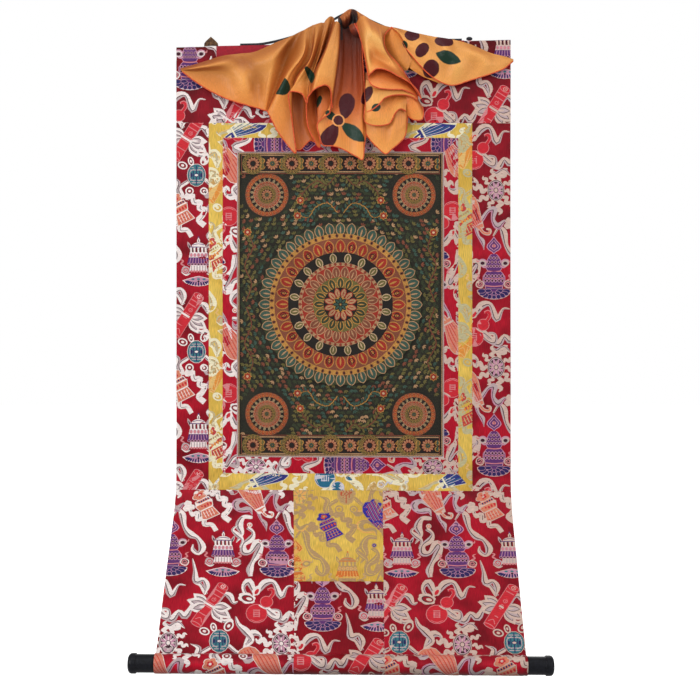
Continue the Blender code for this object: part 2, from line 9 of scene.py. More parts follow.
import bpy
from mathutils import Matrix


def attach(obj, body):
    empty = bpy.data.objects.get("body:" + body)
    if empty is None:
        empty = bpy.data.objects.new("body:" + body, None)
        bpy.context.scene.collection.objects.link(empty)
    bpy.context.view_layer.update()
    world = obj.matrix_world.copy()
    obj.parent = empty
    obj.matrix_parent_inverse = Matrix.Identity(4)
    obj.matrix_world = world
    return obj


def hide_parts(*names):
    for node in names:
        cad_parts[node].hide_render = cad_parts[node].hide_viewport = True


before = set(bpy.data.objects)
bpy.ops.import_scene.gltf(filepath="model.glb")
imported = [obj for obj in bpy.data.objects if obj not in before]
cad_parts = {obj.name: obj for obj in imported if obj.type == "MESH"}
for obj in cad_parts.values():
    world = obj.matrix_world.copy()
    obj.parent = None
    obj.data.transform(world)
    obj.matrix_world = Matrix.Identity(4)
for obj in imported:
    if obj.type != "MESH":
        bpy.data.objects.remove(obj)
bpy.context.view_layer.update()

import math

import bpy
import numpy as np
from mathutils import Vector

MM = 0.001
print("pieces in the frame:", len(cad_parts))

# %% [markdown]
# ## The shape in which the cloth hangs
#
# Cloth is cut flat and then hangs, so every cloth piece is worked out twice: first on flat
# coordinates, u across and v down, and then on the hanging shape. One function does the
# second step for all of them, so seams meet and the woven ornament stays on its cloth.
# The side view is a plumb line, an arc, a sloping line and the circle round the roller.

# %% The sizes of the hanging cloth, in metres
CLOTH_WIDTH = 0.482
CLOTH_MIDDLE_X = -0.0108
CLOTH_THICKNESS = 0.0009
SOLID_THICKNESS = 0.0015
SEAM_GAP = 0.00004
TOP_EDGE_LEFT = 0.0515
TOP_EDGE_RIGHT = 0.0405
LOWER_SEAM = 0.691
SLEEVE_CREASE = 0.939
BOTTOM_FLARE = 0.026
BOTTOM_DRIFT = -0.0026
ROLLER_TILT = 0.006
UNEVENNESS = 0.0013
CURL_START = 0.662
CURL_RADIUS = 0.130
CURL_ANGLE = math.radians(36.0)
PICTURE_WIDTH = 0.2955
PICTURE_TOP = 0.2045
PICTURE_BOTTOM = 0.6420
PICTURE_MIDDLE_U = -0.0043
PIPING = 0.0014
RED_SIDE = 0.0222
RED_TOP = 0.0215
RED_BOTTOM = 0.0250
YELLOW_SIDE = 0.0200
YELLOW_TOP = 0.0215
PATCH_BOTTOM = 0.8305
LEFT_SEAM = (-0.0719, -0.0609)
RIGHT_SEAM = (0.0566, 0.0564)
POCKET_REACH = 0.00355
ROD_RADIUS = 0.0115
SLEEVE_RADIUS = ROD_RADIUS + 0.0005 + SOLID_THICKNESS / 2
SLEEVE_END_GAP = 0.0014
PUCKER = 0.00022
PUCKER_PERIOD = 0.0125
PUCKER_REACH = 0.006
SEAM_DIP = 0.00045
SEAM_DIP_REACH = 0.0034

HALF_WIDTH = CLOTH_WIDTH / 2
CURL_LENGTH = CURL_RADIUS * CURL_ANGLE
SLEEVE_END_TURN = 2 * math.pi - math.asin(SLEEVE_END_GAP / SLEEVE_RADIUS)
SLEEVE_END = SLEEVE_CREASE + SLEEVE_RADIUS * SLEEVE_END_TURN
FRAME_LEFT = PICTURE_MIDDLE_U - PICTURE_WIDTH / 2 - RED_SIDE - YELLOW_SIDE
FRAME_RIGHT = PICTURE_MIDDLE_U + PICTURE_WIDTH / 2 + RED_SIDE + YELLOW_SIDE
FRAME_TOP = PICTURE_TOP - RED_TOP - YELLOW_TOP
print(f"cloth {CLOTH_WIDTH * 1000:.0f} mm wide, yellow frame from v = {FRAME_TOP * 1000:.0f} mm")


# %% From flat cloth to hanging cloth
def hang_section(v):
    """Side view at v: plumb line, arc, slope, circle. Returns y, z and the outward direction."""
    turn = np.clip((v - CURL_START) / CURL_RADIUS, 0.0, CURL_ANGLE)
    straight = np.clip(v, None, CURL_START)
    slope = np.clip(np.clip(v, None, SLEEVE_CREASE) - CURL_START - CURL_LENGTH, 0.0, None)
    y = -POCKET_REACH - CURL_RADIUS * (1 - np.cos(turn)) - slope * math.sin(CURL_ANGLE)
    z = -straight - CURL_RADIUS * np.sin(turn) - slope * math.cos(CURL_ANGLE)
    down = np.array([-math.sin(CURL_ANGLE), -math.cos(CURL_ANGLE)])
    front = np.array([-math.cos(CURL_ANGLE), math.sin(CURL_ANGLE)])
    wound = np.clip(v - SLEEVE_CREASE, 0.0, None) / SLEEVE_RADIUS
    out_y = -np.cos(wound) * down[0] + np.sin(wound) * front[0]
    out_z = -np.cos(wound) * down[1] + np.sin(wound) * front[1]
    y = y + SLEEVE_RADIUS * (down[0] + out_y)
    z = z + SLEEVE_RADIUS * (down[1] + out_z)
    in_sleeve = v > SLEEVE_CREASE + 1e-7
    at_crease = np.abs(v - SLEEVE_CREASE) <= 1e-7
    normal_y = np.where(at_crease, front[0] - down[0], np.where(in_sleeve, out_y, -np.cos(turn)))
    normal_z = np.where(at_crease, front[1] - down[1], np.where(in_sleeve, out_z, np.sin(turn)))
    return y, z, normal_y, normal_z


def unevenness(u, v):
    """Soft waves, two sines across each other, that die out at the batten and the roller."""
    free = np.clip((v - 0.075) / 0.15, 0.0, 1.0) * np.clip((SLEEVE_CREASE - 0.01 - v) / 0.10, 0.0, 1.0)
    waves = np.sin(14.0 * u + 5.0 * v + 0.4) + 0.6 * np.sin(9.0 * v - 21.0 * u + 1.3)
    return UNEVENNESS * free * waves


def seam_u(seam, v):
    """u on a side seam, which runs straight from the lower seam to the crease."""
    share = np.clip((v - LOWER_SEAM) / (SLEEVE_CREASE - LOWER_SEAM), 0.0, 1.0)
    return seam[0] * (1 - share) + seam[1] * share


def seam_distance(u, v):
    """Distance to the nearest long seam: those of the frame, the picture and the lower panels."""
    half = PICTURE_WIDTH / 2 + RED_SIDE / 2
    beside = np.minimum(np.abs(u - FRAME_LEFT), np.abs(u - FRAME_RIGHT))
    beside = np.minimum(beside, np.abs(np.abs(u - PICTURE_MIDDLE_U) - half - RED_SIDE / 2))
    above = np.minimum(np.abs(v - FRAME_TOP), np.abs(v - LOWER_SEAM))
    above = np.minimum(above, np.abs(v - PICTURE_BOTTOM - RED_BOTTOM))
    lower = np.minimum(np.abs(u - seam_u(LEFT_SEAM, v)), np.abs(u - seam_u(RIGHT_SEAM, v)))
    between = (u > seam_u(LEFT_SEAM, v)) & (u < seam_u(RIGHT_SEAM, v))
    lower = np.minimum(lower, np.where(between, np.abs(v - PATCH_BOTTOM), 1.0))
    beside = np.where(v < FRAME_TOP, 1.0, np.where(v > LOWER_SEAM, lower, beside))
    outside = (u < FRAME_LEFT) | (u > FRAME_RIGHT)
    above = np.where(outside & (v < LOWER_SEAM - 0.02), 1.0, above)
    return np.minimum(beside, above)


def puckers(u, v):
    """A dip into each seam and small waves beside it, where the thread draws the cloth in."""
    away = seam_distance(u, v)
    near = np.exp(-(away / PUCKER_REACH) ** 2)
    phase = 2 * math.pi * (u + v) / PUCKER_PERIOD
    waves = PUCKER * near * (np.sin(phase) + 0.5 * np.sin(phase * 0.63 + 40.0 * u))
    flat_part = np.clip((SLEEVE_CREASE - v) / 0.01, 0.0, 1.0)
    return flat_part * (waves - SEAM_DIP * np.exp(-(away / SEAM_DIP_REACH) ** 2))


def cloth_points(u, v, lift):
    """Points on the hanging cloth, lifted by a distance in front of the cloth's middle layer."""
    down_share = np.clip(v, 0.0, SLEEVE_CREASE) / SLEEVE_CREASE
    flare_share = np.clip((v - LOWER_SEAM) / (SLEEVE_CREASE - LOWER_SEAM), 0.0, 1.0)
    y, z, normal_y, normal_z = hang_section(v)
    lifted = lift + unevenness(u, v) + puckers(u, v)
    x = CLOTH_MIDDLE_X + u * (1 + BOTTOM_FLARE * flare_share) + BOTTOM_DRIFT * flare_share
    z = z - ROLLER_TILT * u * down_share
    return np.stack([x, y + normal_y * lifted, z + normal_z * lifted], axis=-1)


deepest = cloth_points(np.array([0.0]), np.array([SLEEVE_CREASE]), 0.0)[0]
print("the roller's crease is", round(-deepest[1] * 1000), "mm in front of the strap")


# %% [markdown]
# ## Camera, light and floor
#
# The photograph looks straight at the scroll from about two metres. A long lens at that
# distance gives the same slight growth of the lower part, which hangs nearer. The light is
# large and soft, from both sides, above and behind. The paper behind such a photograph comes out
# white without lighting the front of the object as much, so the surround and the floor are
# white to the camera and dimmer as lights.

# %% The camera
CAMERA_DISTANCE = 1.875
CAMERA_X = -0.0014
CAMERA_Z = -0.4888
VIEW_HEIGHT = 1.0094
SENSOR = 36.0
camera_data = bpy.data.cameras.new("photo_view")
camera_data.sensor_width = SENSOR
camera_data.lens = SENSOR * CAMERA_DISTANCE / VIEW_HEIGHT
camera = bpy.data.objects.new("photo_view", camera_data)
camera.location = (CAMERA_X, -POCKET_REACH - CAMERA_DISTANCE, CAMERA_Z)
camera.rotation_euler = (math.radians(90), 0, 0)
bpy.context.scene.collection.objects.link(camera)
bpy.context.scene.camera = camera
bpy.context.scene.view_settings.view_transform = "Standard"
print("lens", round(camera_data.lens, 1), "mm")


# %% Soft lights, a white surround and a pale floor
LIGHTS = (
    {"name": "left_softbox", "place": (-1.6, -1.9, 0.2), "size": 1.1, "power": 20.0},
    {"name": "right_softbox", "place": (1.7, -2.0, 0.35), "size": 1.5, "power": 13.5},
    {"name": "top_softbox", "place": (-0.2, -1.0, 1.3), "size": 1.2, "power": 8.0},
    {"name": "back_softbox", "place": (0.6, 2.0, 0.6), "size": 1.5, "power": 8.0},
)
SCROLL_MIDDLE = Vector((-0.01, -0.03, -0.47))
FLOOR_HEIGHT = -1.15
FLOOR_RADIUS = 14.0
FLOOR_SIDES = 64
WORLD_LIGHT = 0.445


def soft_light(name, place, size, power):
    """A square light that faces the middle of the scroll."""
    data = bpy.data.lights.new(name, "AREA")
    data.size = size
    data.energy = power
    lamp = bpy.data.objects.new(name, data)
    lamp.location = place
    lamp.rotation_euler = (SCROLL_MIDDLE - Vector(place)).to_track_quat("-Z", "Y").to_euler()
    bpy.context.scene.collection.objects.link(lamp)


for lamp in LIGHTS:
    soft_light(**lamp)


def white_to_the_camera(tree, light, socket):
    """Drive a strength: 1 where the camera looks straight at it, and less as a light on the scroll."""
    seen_directly = tree.nodes.new("ShaderNodeLightPath").outputs["Is Camera Ray"]
    strength = tree.nodes.new("ShaderNodeMapRange")
    strength.inputs["To Min"].default_value = light
    tree.links.new(seen_directly, strength.inputs["Value"])
    tree.links.new(strength.outputs[0], socket)


world = bpy.data.worlds.new("white_surround")
world.use_nodes = True
surround = world.node_tree.nodes["Background"]
surround.inputs["Color"].default_value = (1.0, 1.0, 1.0, 1.0)
white_to_the_camera(world.node_tree, WORLD_LIGHT, surround.inputs["Strength"])
bpy.context.scene.world = world
print("lights:", len(LIGHTS))


# %% [markdown]
# ## Helpers for meshes and materials
#
# Every new piece here is a grid of points or a set of flat shapes, worked out as whole
# arrays. A sheet of cloth is two such grids, its face and its reverse, joined by a rim, so
# it is closed and has a thickness. The reverse gets its own material, as brocade shows its
# loose threads there.

# %% Meshes from arrays
SMOOTH_ANGLE = math.radians(40.0)


def add_piece(name, points, faces, materials, slots=None):
    """A mesh object at the origin from an array of points and an array of faces."""
    mesh = bpy.data.meshes.new(name)
    corners = faces if isinstance(faces, list) else faces.tolist()
    mesh.from_pydata(np.asarray(points, dtype=float).reshape(-1, 3).tolist(), [], corners)
    for surface in materials:
        mesh.materials.append(surface)
    if slots is not None:
        mesh.polygons.foreach_set("material_index", np.asarray(slots, dtype=np.int32))
    mesh.shade_smooth()
    mesh.set_sharp_from_angle(angle=SMOOTH_ANGLE)
    made = bpy.data.objects.new(name, mesh)
    bpy.context.scene.collection.objects.link(made)
    return made


def grid_faces(rows, columns, around=False):
    """Quads between neighbours of a grid of points, row by row, closed around if asked."""
    number = np.arange(rows * columns).reshape(rows, columns)
    if around:
        number = np.concatenate([number, number[:, :1]], axis=1)
    corner = [number[:-1, :-1], number[1:, :-1], number[1:, 1:], number[:-1, 1:]]
    return np.stack([c.ravel() for c in corner], axis=1)


def sheet_faces(rows, columns):
    """Faces of two grids, one behind the other, and of the rim that joins them."""
    number = np.arange(rows * columns).reshape(rows, columns)
    behind = rows * columns
    front = grid_faces(rows, columns)
    edge = np.concatenate([number[:, 0], number[-1, 1:], number[-2::-1, -1], number[0, -2:0:-1]])
    following = np.roll(edge, -1)
    rim = np.stack([edge, edge + behind, following + behind, following], axis=1)
    return front, front[:, ::-1] + behind, rim


def closed_sheet(name, front, back, face, reverse):
    """Two grids of points joined by a rim; the face and rim use one material, the reverse another."""
    faces = sheet_faces(*front.shape[:2])
    slots = np.repeat([0, 1, 0], [len(part) for part in faces])
    points = np.concatenate([front.reshape(-1, 3), back.reshape(-1, 3)])
    return add_piece(name, points, np.concatenate(faces), [face, reverse], slots)


def set_colours(made, colours):
    """Store one colour for each point of the mesh, for its material to read."""
    layer = made.data.color_attributes.new("thread_colour", "FLOAT_COLOR", "POINT")
    four = np.concatenate([colours, np.ones((len(colours), 1))], axis=1)
    layer.data.foreach_set("color", four.astype(np.float32).ravel())


def finish_piece(made, slot, *nodes):
    """Let a piece ride on the scroll and stand for CAD nodes, which are hidden; slot is not used."""
    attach(made, "root")
    if nodes:
        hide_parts(*nodes)
    return made


def linear(red, green, blue):
    """A colour as seen on a screen, 0 to 255, as the linear light that a shader wants."""
    seen = np.array([red, green, blue]) / 255
    return tuple(float(c) for c in np.where(seen <= 0.04045, seen / 12.92, ((seen + 0.055) / 1.055) ** 2.4))


def store_flat(made, flat):
    """Keep each point's flat place on the cloth, in metres, as the UV map that weaves follow."""
    layer = made.data.uv_layers.new(name="flat")
    corner = np.empty(len(made.data.loops), dtype=np.int32)
    made.data.loops.foreach_get("vertex_index", corner)
    layer.data.foreach_set("uv", np.asarray(flat, dtype=np.float32).reshape(-1, 2)[corner].ravel())


floor_turn = np.linspace(0, 2 * math.pi, FLOOR_SIDES, endpoint=False)
floor_points = np.stack([FLOOR_RADIUS * np.cos(floor_turn), FLOOR_RADIUS * np.sin(floor_turn),
                         np.full(FLOOR_SIDES, FLOOR_HEIGHT)], axis=-1)
floor = add_piece("floor", floor_points, np.arange(FLOOR_SIDES)[None, :], [])
print("floor", FLOOR_HEIGHT, "m")

# %% Short calls for node materials
SHEEN_ROUGHNESS = 0.4
NOISE_LOW = 0.3
NOISE_HIGH = 0.7
RIDGE_DISTORTION = 0.4


def add_node(tree, kind, inputs=None, **settings):
    """Add a node, set or link its inputs, and return its first output."""
    node = tree.nodes.new(kind)
    for key, value in settings.items():
        setattr(node, key, value)
    for key, value in (inputs or {}).items():
        if isinstance(value, bpy.types.NodeSocket):
            tree.links.new(value, node.inputs[key])
        else:
            node.inputs[key].default_value = value
    return node.outputs[0]


def new_material(name, roughness, sheen=0.0, specular=0.5):
    """A material with one Principled shader whose constant values are set on its own sockets."""
    made = bpy.data.materials.new(name)
    made.use_nodes = True
    shader = made.node_tree.nodes["Principled BSDF"]
    shader.inputs["Roughness"].default_value = roughness
    shader.inputs["Sheen Weight"].default_value = sheen
    shader.inputs["Sheen Roughness"].default_value = SHEEN_ROUGHNESS
    shader.inputs["Specular IOR Level"].default_value = specular
    return made, made.node_tree, shader


def stretched(tree, place, across, down):
    """The same coordinates, squeezed across and down, so that a noise becomes streaks."""
    return add_node(tree, "ShaderNodeMapping", {"Vector": place, "Scale": (across, down, 1.0)})


def noise(tree, place, scale, detail=2.0):
    """Soft random grey at a scale."""
    return add_node(tree, "ShaderNodeTexNoise", {"Vector": place, "Scale": scale, "Detail": detail})


def ramp(tree, value, low, high, under=0.0, over=1.0):
    """Under below the low value, over above the high one, and an even rise between the two."""
    limits = {"Value": value, "From Min": low, "From Max": high, "To Min": under, "To Max": over}
    return add_node(tree, "ShaderNodeMapRange", limits)


def between(tree, share, low, high):
    """A range of grey from low to high, driven by a noise whose values lie round a half."""
    return ramp(tree, share, NOISE_LOW, NOISE_HIGH, low, high)


def mixed(tree, share, first, second, how="MIX"):
    """Mix two colours, each a value or a socket, by a share."""
    node = tree.nodes.new("ShaderNodeMix")
    node.data_type = "RGBA"
    node.blend_type = how
    pairs = ((node.inputs[0], share), (node.inputs[6], first), (node.inputs[7], second))
    for socket, value in pairs:
        if isinstance(value, bpy.types.NodeSocket):
            tree.links.new(value, socket)
        elif isinstance(value, tuple):
            socket.default_value = (*value, 1.0)
        else:
            socket.default_value = value
    return node.outputs[2]


def ridges(tree, place, period, direction):
    """Parallel ridges, one for each thread, as a height from 0 to 1."""
    scale = 2 * math.pi / (20 * period)
    inputs = {"Vector": place, "Scale": scale, "Distortion": RIDGE_DISTORTION, "Detail": 1.0}
    return add_node(tree, "ShaderNodeTexWave", inputs, bands_direction=direction)


def summed(tree, first, second, how="ADD"):
    """The sum of two greys, or what another operation makes of them."""
    return add_node(tree, "ShaderNodeMath", {0: first, 1: second}, operation=how)


def times(tree, first, second):
    """The product of two greys."""
    return summed(tree, first, second, "MULTIPLY")


def crossed(tree, place, period, down="Y"):
    """A plain weave: ridges across and ridges down, added."""
    return summed(tree, ridges(tree, place, period, "X"), ridges(tree, place, period, down))


def coloured(tree, shader, colour, grey=None):
    """Give the shader its colour, multiplied by a grey if there is one."""
    if grey is not None:
        colour = mixed(tree, 1.0, colour, grey, "MULTIPLY")
    tree.links.new(colour, shader.inputs["Base Color"])


def bumped(tree, shader, height, distance, strength=0.6):
    """Turn a height into bump on the shader."""
    inputs = {"Height": height, "Distance": distance, "Strength": strength}
    tree.links.new(add_node(tree, "ShaderNodeBump", inputs), shader.inputs["Normal"])


def flat_place(tree):
    """The flat coordinates of the cloth, in metres."""
    return add_node(tree, "ShaderNodeUVMap", uv_map="flat")


def object_place(tree):
    """The place on the object, in metres."""
    return tree.nodes.new("ShaderNodeTexCoord").outputs["Object"]


def object_height(tree):
    """The height on the object, in metres."""
    return add_node(tree, "ShaderNodeSeparateXYZ", {0: object_place(tree)}).node.outputs["Z"]


def mesh_colour(tree):
    """The colour stored on the mesh."""
    return add_node(tree, "ShaderNodeAttribute", attribute_name="thread_colour")


# %% [markdown]
# ## Brocade, its threads and its reverse
#
# The ground of brocade is satin: long warp threads lie on top, so it shines and has a fine
# grain down the cloth. The ornament is woven with thicker threads that run across. Both
# follow the flat coordinates, so the grain goes round the roller with the cloth. The
# colour changes a little from thread to thread and more slowly over the cloth.

# %% Brocade materials
THREAD = 0.00055
FLOAT_THREAD = 0.0008
# The satin gets painted shade towards the top, from the first height up to the second.
TOP_PAINTED_SHADE_FROM = -0.36
TOP_PAINTED_SHADE_TO = -0.08
# Each row is a step of painted light: from height, to height, tone below it, tone above it.
# The first paints shade on the top edge; the others paint shade under the roller, a highlight on its front.
PAINTED_LIGHT_STEPS = ((-0.0705, -0.0575, 1.0, 0.55), (-0.919, -0.9045, 0.22, 1.4),
                 (-0.9035, -0.898, 1.0, 0.71))
# Painted shade on the ornament threads under the roller: from height, to height, tone below, tone above.
ORNAMENT_PAINTED_SHADE = (-0.920, -0.898, 0.45, 1.0)


def satin_ground(name, colour, shade, roughness=0.36, top_painted_shade=1.0):
    """
    A satin ground: two shades in slow clouds, fine streaks, a weave, and painted shade towards the top.
    Round the roller it has painted shade below and a painted highlight along the front, and a band
    of painted shade runs along the top edge.
    """
    made, tree, shader = new_material(name, roughness, 0.04, specular=0.4)
    tint = np.array(colour[:3]) / max(colour[:3])
    shader.inputs["Specular Tint"].default_value = (*(0.3 + 0.7 * tint), 1.0)
    shader.inputs["Sheen Tint"].default_value = (*tint, 1.0)
    place = flat_place(tree)
    clouds = between(tree, noise(tree, place, 19.0, 2.0), -0.1, 1.1)
    tone = between(tree, noise(tree, stretched(tree, place, 1500.0, 90.0), 1.0, 2.0), 0.66, 1.18)
    height = object_height(tree)
    # Painted shade towards the top, on the top edge and under the roller; a painted highlight on the
    # roller's front.
    for step in ((TOP_PAINTED_SHADE_FROM, TOP_PAINTED_SHADE_TO, 1.0, top_painted_shade), *PAINTED_LIGHT_STEPS):
        tone = times(tree, tone, ramp(tree, height, *step))
    coloured(tree, shader, mixed(tree, clouds, colour, shade), tone)
    warp = ridges(tree, place, THREAD, "X")
    weft = ridges(tree, place, THREAD * 1.6, "DIAGONAL")
    bumped(tree, shader, summed(tree, warp, weft), 0.00012)
    return made


def woven_threads(name):
    """Ornament threads: the mesh's colour, streaked across, thick ridges, painted shade under the roller."""
    made, tree, shader = new_material(name, 0.5, 0.06, specular=0.25)
    place = flat_place(tree)
    streaks = between(tree, noise(tree, stretched(tree, place, 160.0, 1300.0), 1.0, 2.0), 0.78, 1.15)
    # painted shade: darker on the roller's underside
    shade = ramp(tree, object_height(tree), *ORNAMENT_PAINTED_SHADE)
    coloured(tree, shader, mesh_colour(tree), times(tree, streaks, shade))
    floats = ridges(tree, place, FLOAT_THREAD, "Y")
    bumped(tree, shader, summed(tree, floats, noise(tree, place, 900.0)), 0.0002)
    return made


def brocade_reverse(name, colour, floats):
    """The reverse: a dull ground crossed by the loose ends of the ornament's threads."""
    made, tree, shader = new_material(name, 0.8, 0.3, specular=0.2)
    place = flat_place(tree)
    loose = noise(tree, stretched(tree, place, 40.0, 900.0), 1.0, 3.0)
    patches = noise(tree, place, 22.0, 2.0)
    share = between(tree, times(tree, loose, patches), -0.5, 1.4)
    coloured(tree, shader, mixed(tree, share, colour, floats))
    bumped(tree, shader, summed(tree, loose, ridges(tree, place, THREAD, "Y")), 0.0002)
    return made


CRIMSON = linear(190, 16, 42)
DEEP_CRIMSON = linear(118, 4, 22)
GOLDEN = linear(246, 208, 98)
OLD_GOLD = linear(222, 178, 74)
red_satin = satin_ground("red_satin", CRIMSON, DEEP_CRIMSON, top_painted_shade=0.55)
deep_satin = satin_ground("deep_satin", linear(148, 6, 26), linear(122, 3, 20))
strip_satin = satin_ground("red_strip_satin", linear(182, 12, 40), CRIMSON, top_painted_shade=0.85)
yellow_satin = satin_ground("yellow_satin", GOLDEN, OLD_GOLD, 0.46)
threads = woven_threads("ornament_threads")
red_reverse = brocade_reverse("red_reverse", linear(120, 30, 45), linear(185, 150, 140))
yellow_reverse = brocade_reverse("yellow_reverse", linear(180, 150, 80), linear(200, 190, 165))
print("brocade materials:", len(bpy.data.materials) - len(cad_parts))


# %% [markdown]
# ## Plain materials
#
# The floor is plain and pale. Cord, tape, ribbon, canvas, wood and the turned caps each
# have their own grain: a fine twist on cord, a coarse weave on tape, a dusty tooth on
# painted canvas and long streaks along wood.

# %% Other materials
CANVAS_THREAD = 0.0006


def plain_cloth(name, colour, shade, period, depth, roughness=0.75, sheen=0.3):
    """Plain woven cloth in object coordinates: crossing threads of a period, and soft clouds."""
    made, tree, shader = new_material(name, roughness, sheen, specular=0.3)
    place = object_place(tree)
    share = between(tree, noise(tree, place, 260.0, 3.0), 0.0, 1.0)
    coloured(tree, shader, mixed(tree, share, colour, shade))
    bumped(tree, shader, crossed(tree, place, period, "Z"), depth)
    return made


def wood(name, colour, shade, roughness):
    """Wood with its grain along X: a noise squeezed along the bar."""
    made, tree, shader = new_material(name, roughness, specular=0.4)
    place = object_place(tree)
    long_grain = add_node(tree, "ShaderNodeMapping", {"Vector": place, "Scale": (12.0, 420.0, 420.0)})
    grain = noise(tree, long_grain, 1.0, 4.0)
    coloured(tree, shader, mixed(tree, between(tree, grain, 0.0, 1.0), colour, shade))
    bumped(tree, shader, grain, 0.0002, 0.4)
    return made


def turned_black(name):
    """The caps: satin black with faint turning marks and a few dull places from handling."""
    made, tree, shader = new_material(name, 0.3, specular=0.22)
    place = object_place(tree)
    worn = between(tree, noise(tree, place, 90.0, 4.0), 0.28, 0.46)
    tree.links.new(worn, shader.inputs["Roughness"])
    dust = between(tree, noise(tree, place, 400.0, 2.0), 0.0, 1.0)
    coloured(tree, shader, mixed(tree, dust, linear(8, 9, 14), linear(22, 23, 32)))
    bumped(tree, shader, ridges(tree, place, 0.0007, "X"), 0.00003, 0.35)
    return made


def painted_canvas(name):
    """Dark painted canvas: near black with brown and green clouds, pale tooth and a weave."""
    made, tree, shader = new_material(name, 0.82, 0.1, specular=0.25)
    place = flat_place(tree)
    clouds = between(tree, noise(tree, place, 24.0, 4.0), 0.0, 1.0)
    ground = mixed(tree, clouds, linear(34, 32, 28), linear(46, 46, 36))
    tooth = ramp(tree, noise(tree, place, 1100.0, 2.0), 0.56, 0.74, 0.0, 0.5)
    coloured(tree, shader, mixed(tree, tooth, ground, linear(120, 112, 84)))
    bumped(tree, shader, crossed(tree, place, CANVAS_THREAD), 0.0001)
    return made


def paint(name):
    """Paint on canvas: the colour stored on the mesh, broken by the canvas's dark grain."""
    made, tree, shader = new_material(name, 0.78, 0.05, specular=0.3)
    place = flat_place(tree)
    grain = between(tree, noise(tree, place, 1000.0, 2.0), 0.35, 1.2)
    worn = between(tree, noise(tree, place, 40.0, 3.0), 0.8, 1.1)
    coloured(tree, shader, mixed(tree, 1.0, mesh_colour(tree), grain, "MULTIPLY"), worn)
    bumped(tree, shader, crossed(tree, place, CANVAS_THREAD), 0.0001)
    return made


floor_white, floor_tree, floor_shader = new_material("pale_floor", 0.9)
floor_shader.inputs["Base Color"].default_value = (0.65, 0.65, 0.65, 1.0)
floor_shader.inputs["Emission Color"].default_value = (1.0, 1.0, 1.0, 1.0)
white_to_the_camera(floor_tree, 0.0, floor_shader.inputs["Emission Strength"])
floor.data.materials.append(floor_white)
plain_red = plain_cloth("plain_red_ribbon", linear(178, 14, 40), linear(150, 10, 36), 0.0006, 0.0001, 0.55)
dark_tape = plain_cloth("dark_tape_weave", linear(58, 60, 66), linear(34, 35, 42), 0.0009, 0.0003)
pale_cord = plain_cloth("pale_cord", linear(226, 186, 178), linear(190, 140, 140), 0.0009, 0.0002)
canvas_back = plain_cloth("canvas_back", linear(150, 132, 100), linear(120, 104, 78), 0.0008, 0.0002)
tab_gold = plain_cloth("tab_brocade_threads", linear(44, 24, 22), linear(128, 92, 58), 0.0014, 0.0003)
batten_wood = wood("batten_wood", linear(48, 32, 26), linear(28, 20, 18), 0.6)
rod_wood = wood("rod_wood", linear(186, 146, 100), linear(150, 110, 72), 0.6)
cap_black = turned_black("cap_satin_black")
canvas_paint = painted_canvas("painted_canvas")
picture_paint = paint("picture_paint")
print("materials made:", len(bpy.data.materials))
# %% [markdown]
# ## The cloth pieces
#
# A maker cuts the strips and panels flat and sews them edge to edge. Each one is a closed
# sheet here, a little under a millimetre thick, on a grid of flat points about three
# millimetres apart, so that the puckers along the seams show. A piece is given by its
# corners, and a grid between them is the plain way to fill any four-sided piece.

# %% One cloth piece from its corners
GRID_STEP = 0.003
HALF_CLOTH = CLOTH_THICKNESS / 2


def flat_area(flat):
    """The area of a grid of flat points: half the cross product of each cell's diagonals."""
    one = flat[1:, 1:] - flat[:-1, :-1]
    other = flat[1:, :-1] - flat[:-1, 1:]
    return float(np.abs(one[..., 0] * other[..., 1] - one[..., 1] * other[..., 0]).sum() / 2)


def cloth_sheet(name, flat, materials, slot, placing=cloth_points):
    """A sheet of cloth on a grid of flat points; the flat area it was cut to is worked out but not kept."""
    faces = [placing(flat[..., 0], flat[..., 1], side) for side in (HALF_CLOTH, -HALF_CLOTH)]
    made = closed_sheet(f"cloth_{name}", faces[0], faces[1], *materials)
    store_flat(made, np.concatenate([flat.reshape(-1, 2)] * 2))
    finish_piece(made, slot, name)
    flat_area(flat)
    return made


def four_sided(corners):
    """A grid between four corners, inset by half the gap of a seam: a share across and down."""
    top_left, top_right, bottom_right, bottom_left = (np.array(corner) for corner in corners)
    middle = (top_left + top_right + bottom_right + bottom_left) / 4
    inset = [corner + np.sign(middle - corner) * SEAM_GAP / 2
             for corner in (top_left, top_right, bottom_right, bottom_left)]
    widest = np.abs(top_right - top_left)[0] + np.abs(bottom_right - bottom_left)[0]
    tallest = np.abs(bottom_left - top_left)[1] + np.abs(bottom_right - top_right)[1]
    columns = max(3, round(widest / 2 / GRID_STEP))
    rows = max(3, round(tallest / 2 / GRID_STEP))
    across = np.linspace(0, 1, columns + 1)[None, :, None]
    down = np.linspace(0, 1, rows + 1)[:, None, None]
    top = inset[0] * (1 - across) + inset[1] * across
    bottom = inset[3] * (1 - across) + inset[2] * across
    return top * (1 - down) + bottom * down


# %% [markdown]
# ## Picture, piping and the two frames of strips
#
# Strips that meet at a corner are mitred: cut on a slant so that neither lies on top. The
# same function cuts the red and the yellow frame. The thin piping is a cord, so it gets an
# oval section instead of a flat sheet.

# %% The frames
RED_CLOTH = (strip_satin, red_reverse)
YELLOW_CLOTH = (yellow_satin, yellow_reverse)


def grown_picture(side, top, bottom):
    """The picture's rectangle grown by a border, as its corners from top left clockwise."""
    left = PICTURE_MIDDLE_U - PICTURE_WIDTH / 2 - side
    right = PICTURE_MIDDLE_U + PICTURE_WIDTH / 2 + side
    upper = PICTURE_TOP - top
    lower = PICTURE_BOTTOM + bottom
    return (left, upper), (right, upper), (right, lower), (left, lower)


def mitred(inner, outer):
    """The corners of the four strips between two rectangles."""
    return {
        "top": (outer[0], outer[1], inner[1], inner[0]),
        "right": (inner[1], outer[1], outer[2], inner[2]),
        "bottom": (inner[3], inner[2], outer[2], outer[3]),
        "left": (outer[0], inner[0], inner[3], outer[3]),
    }


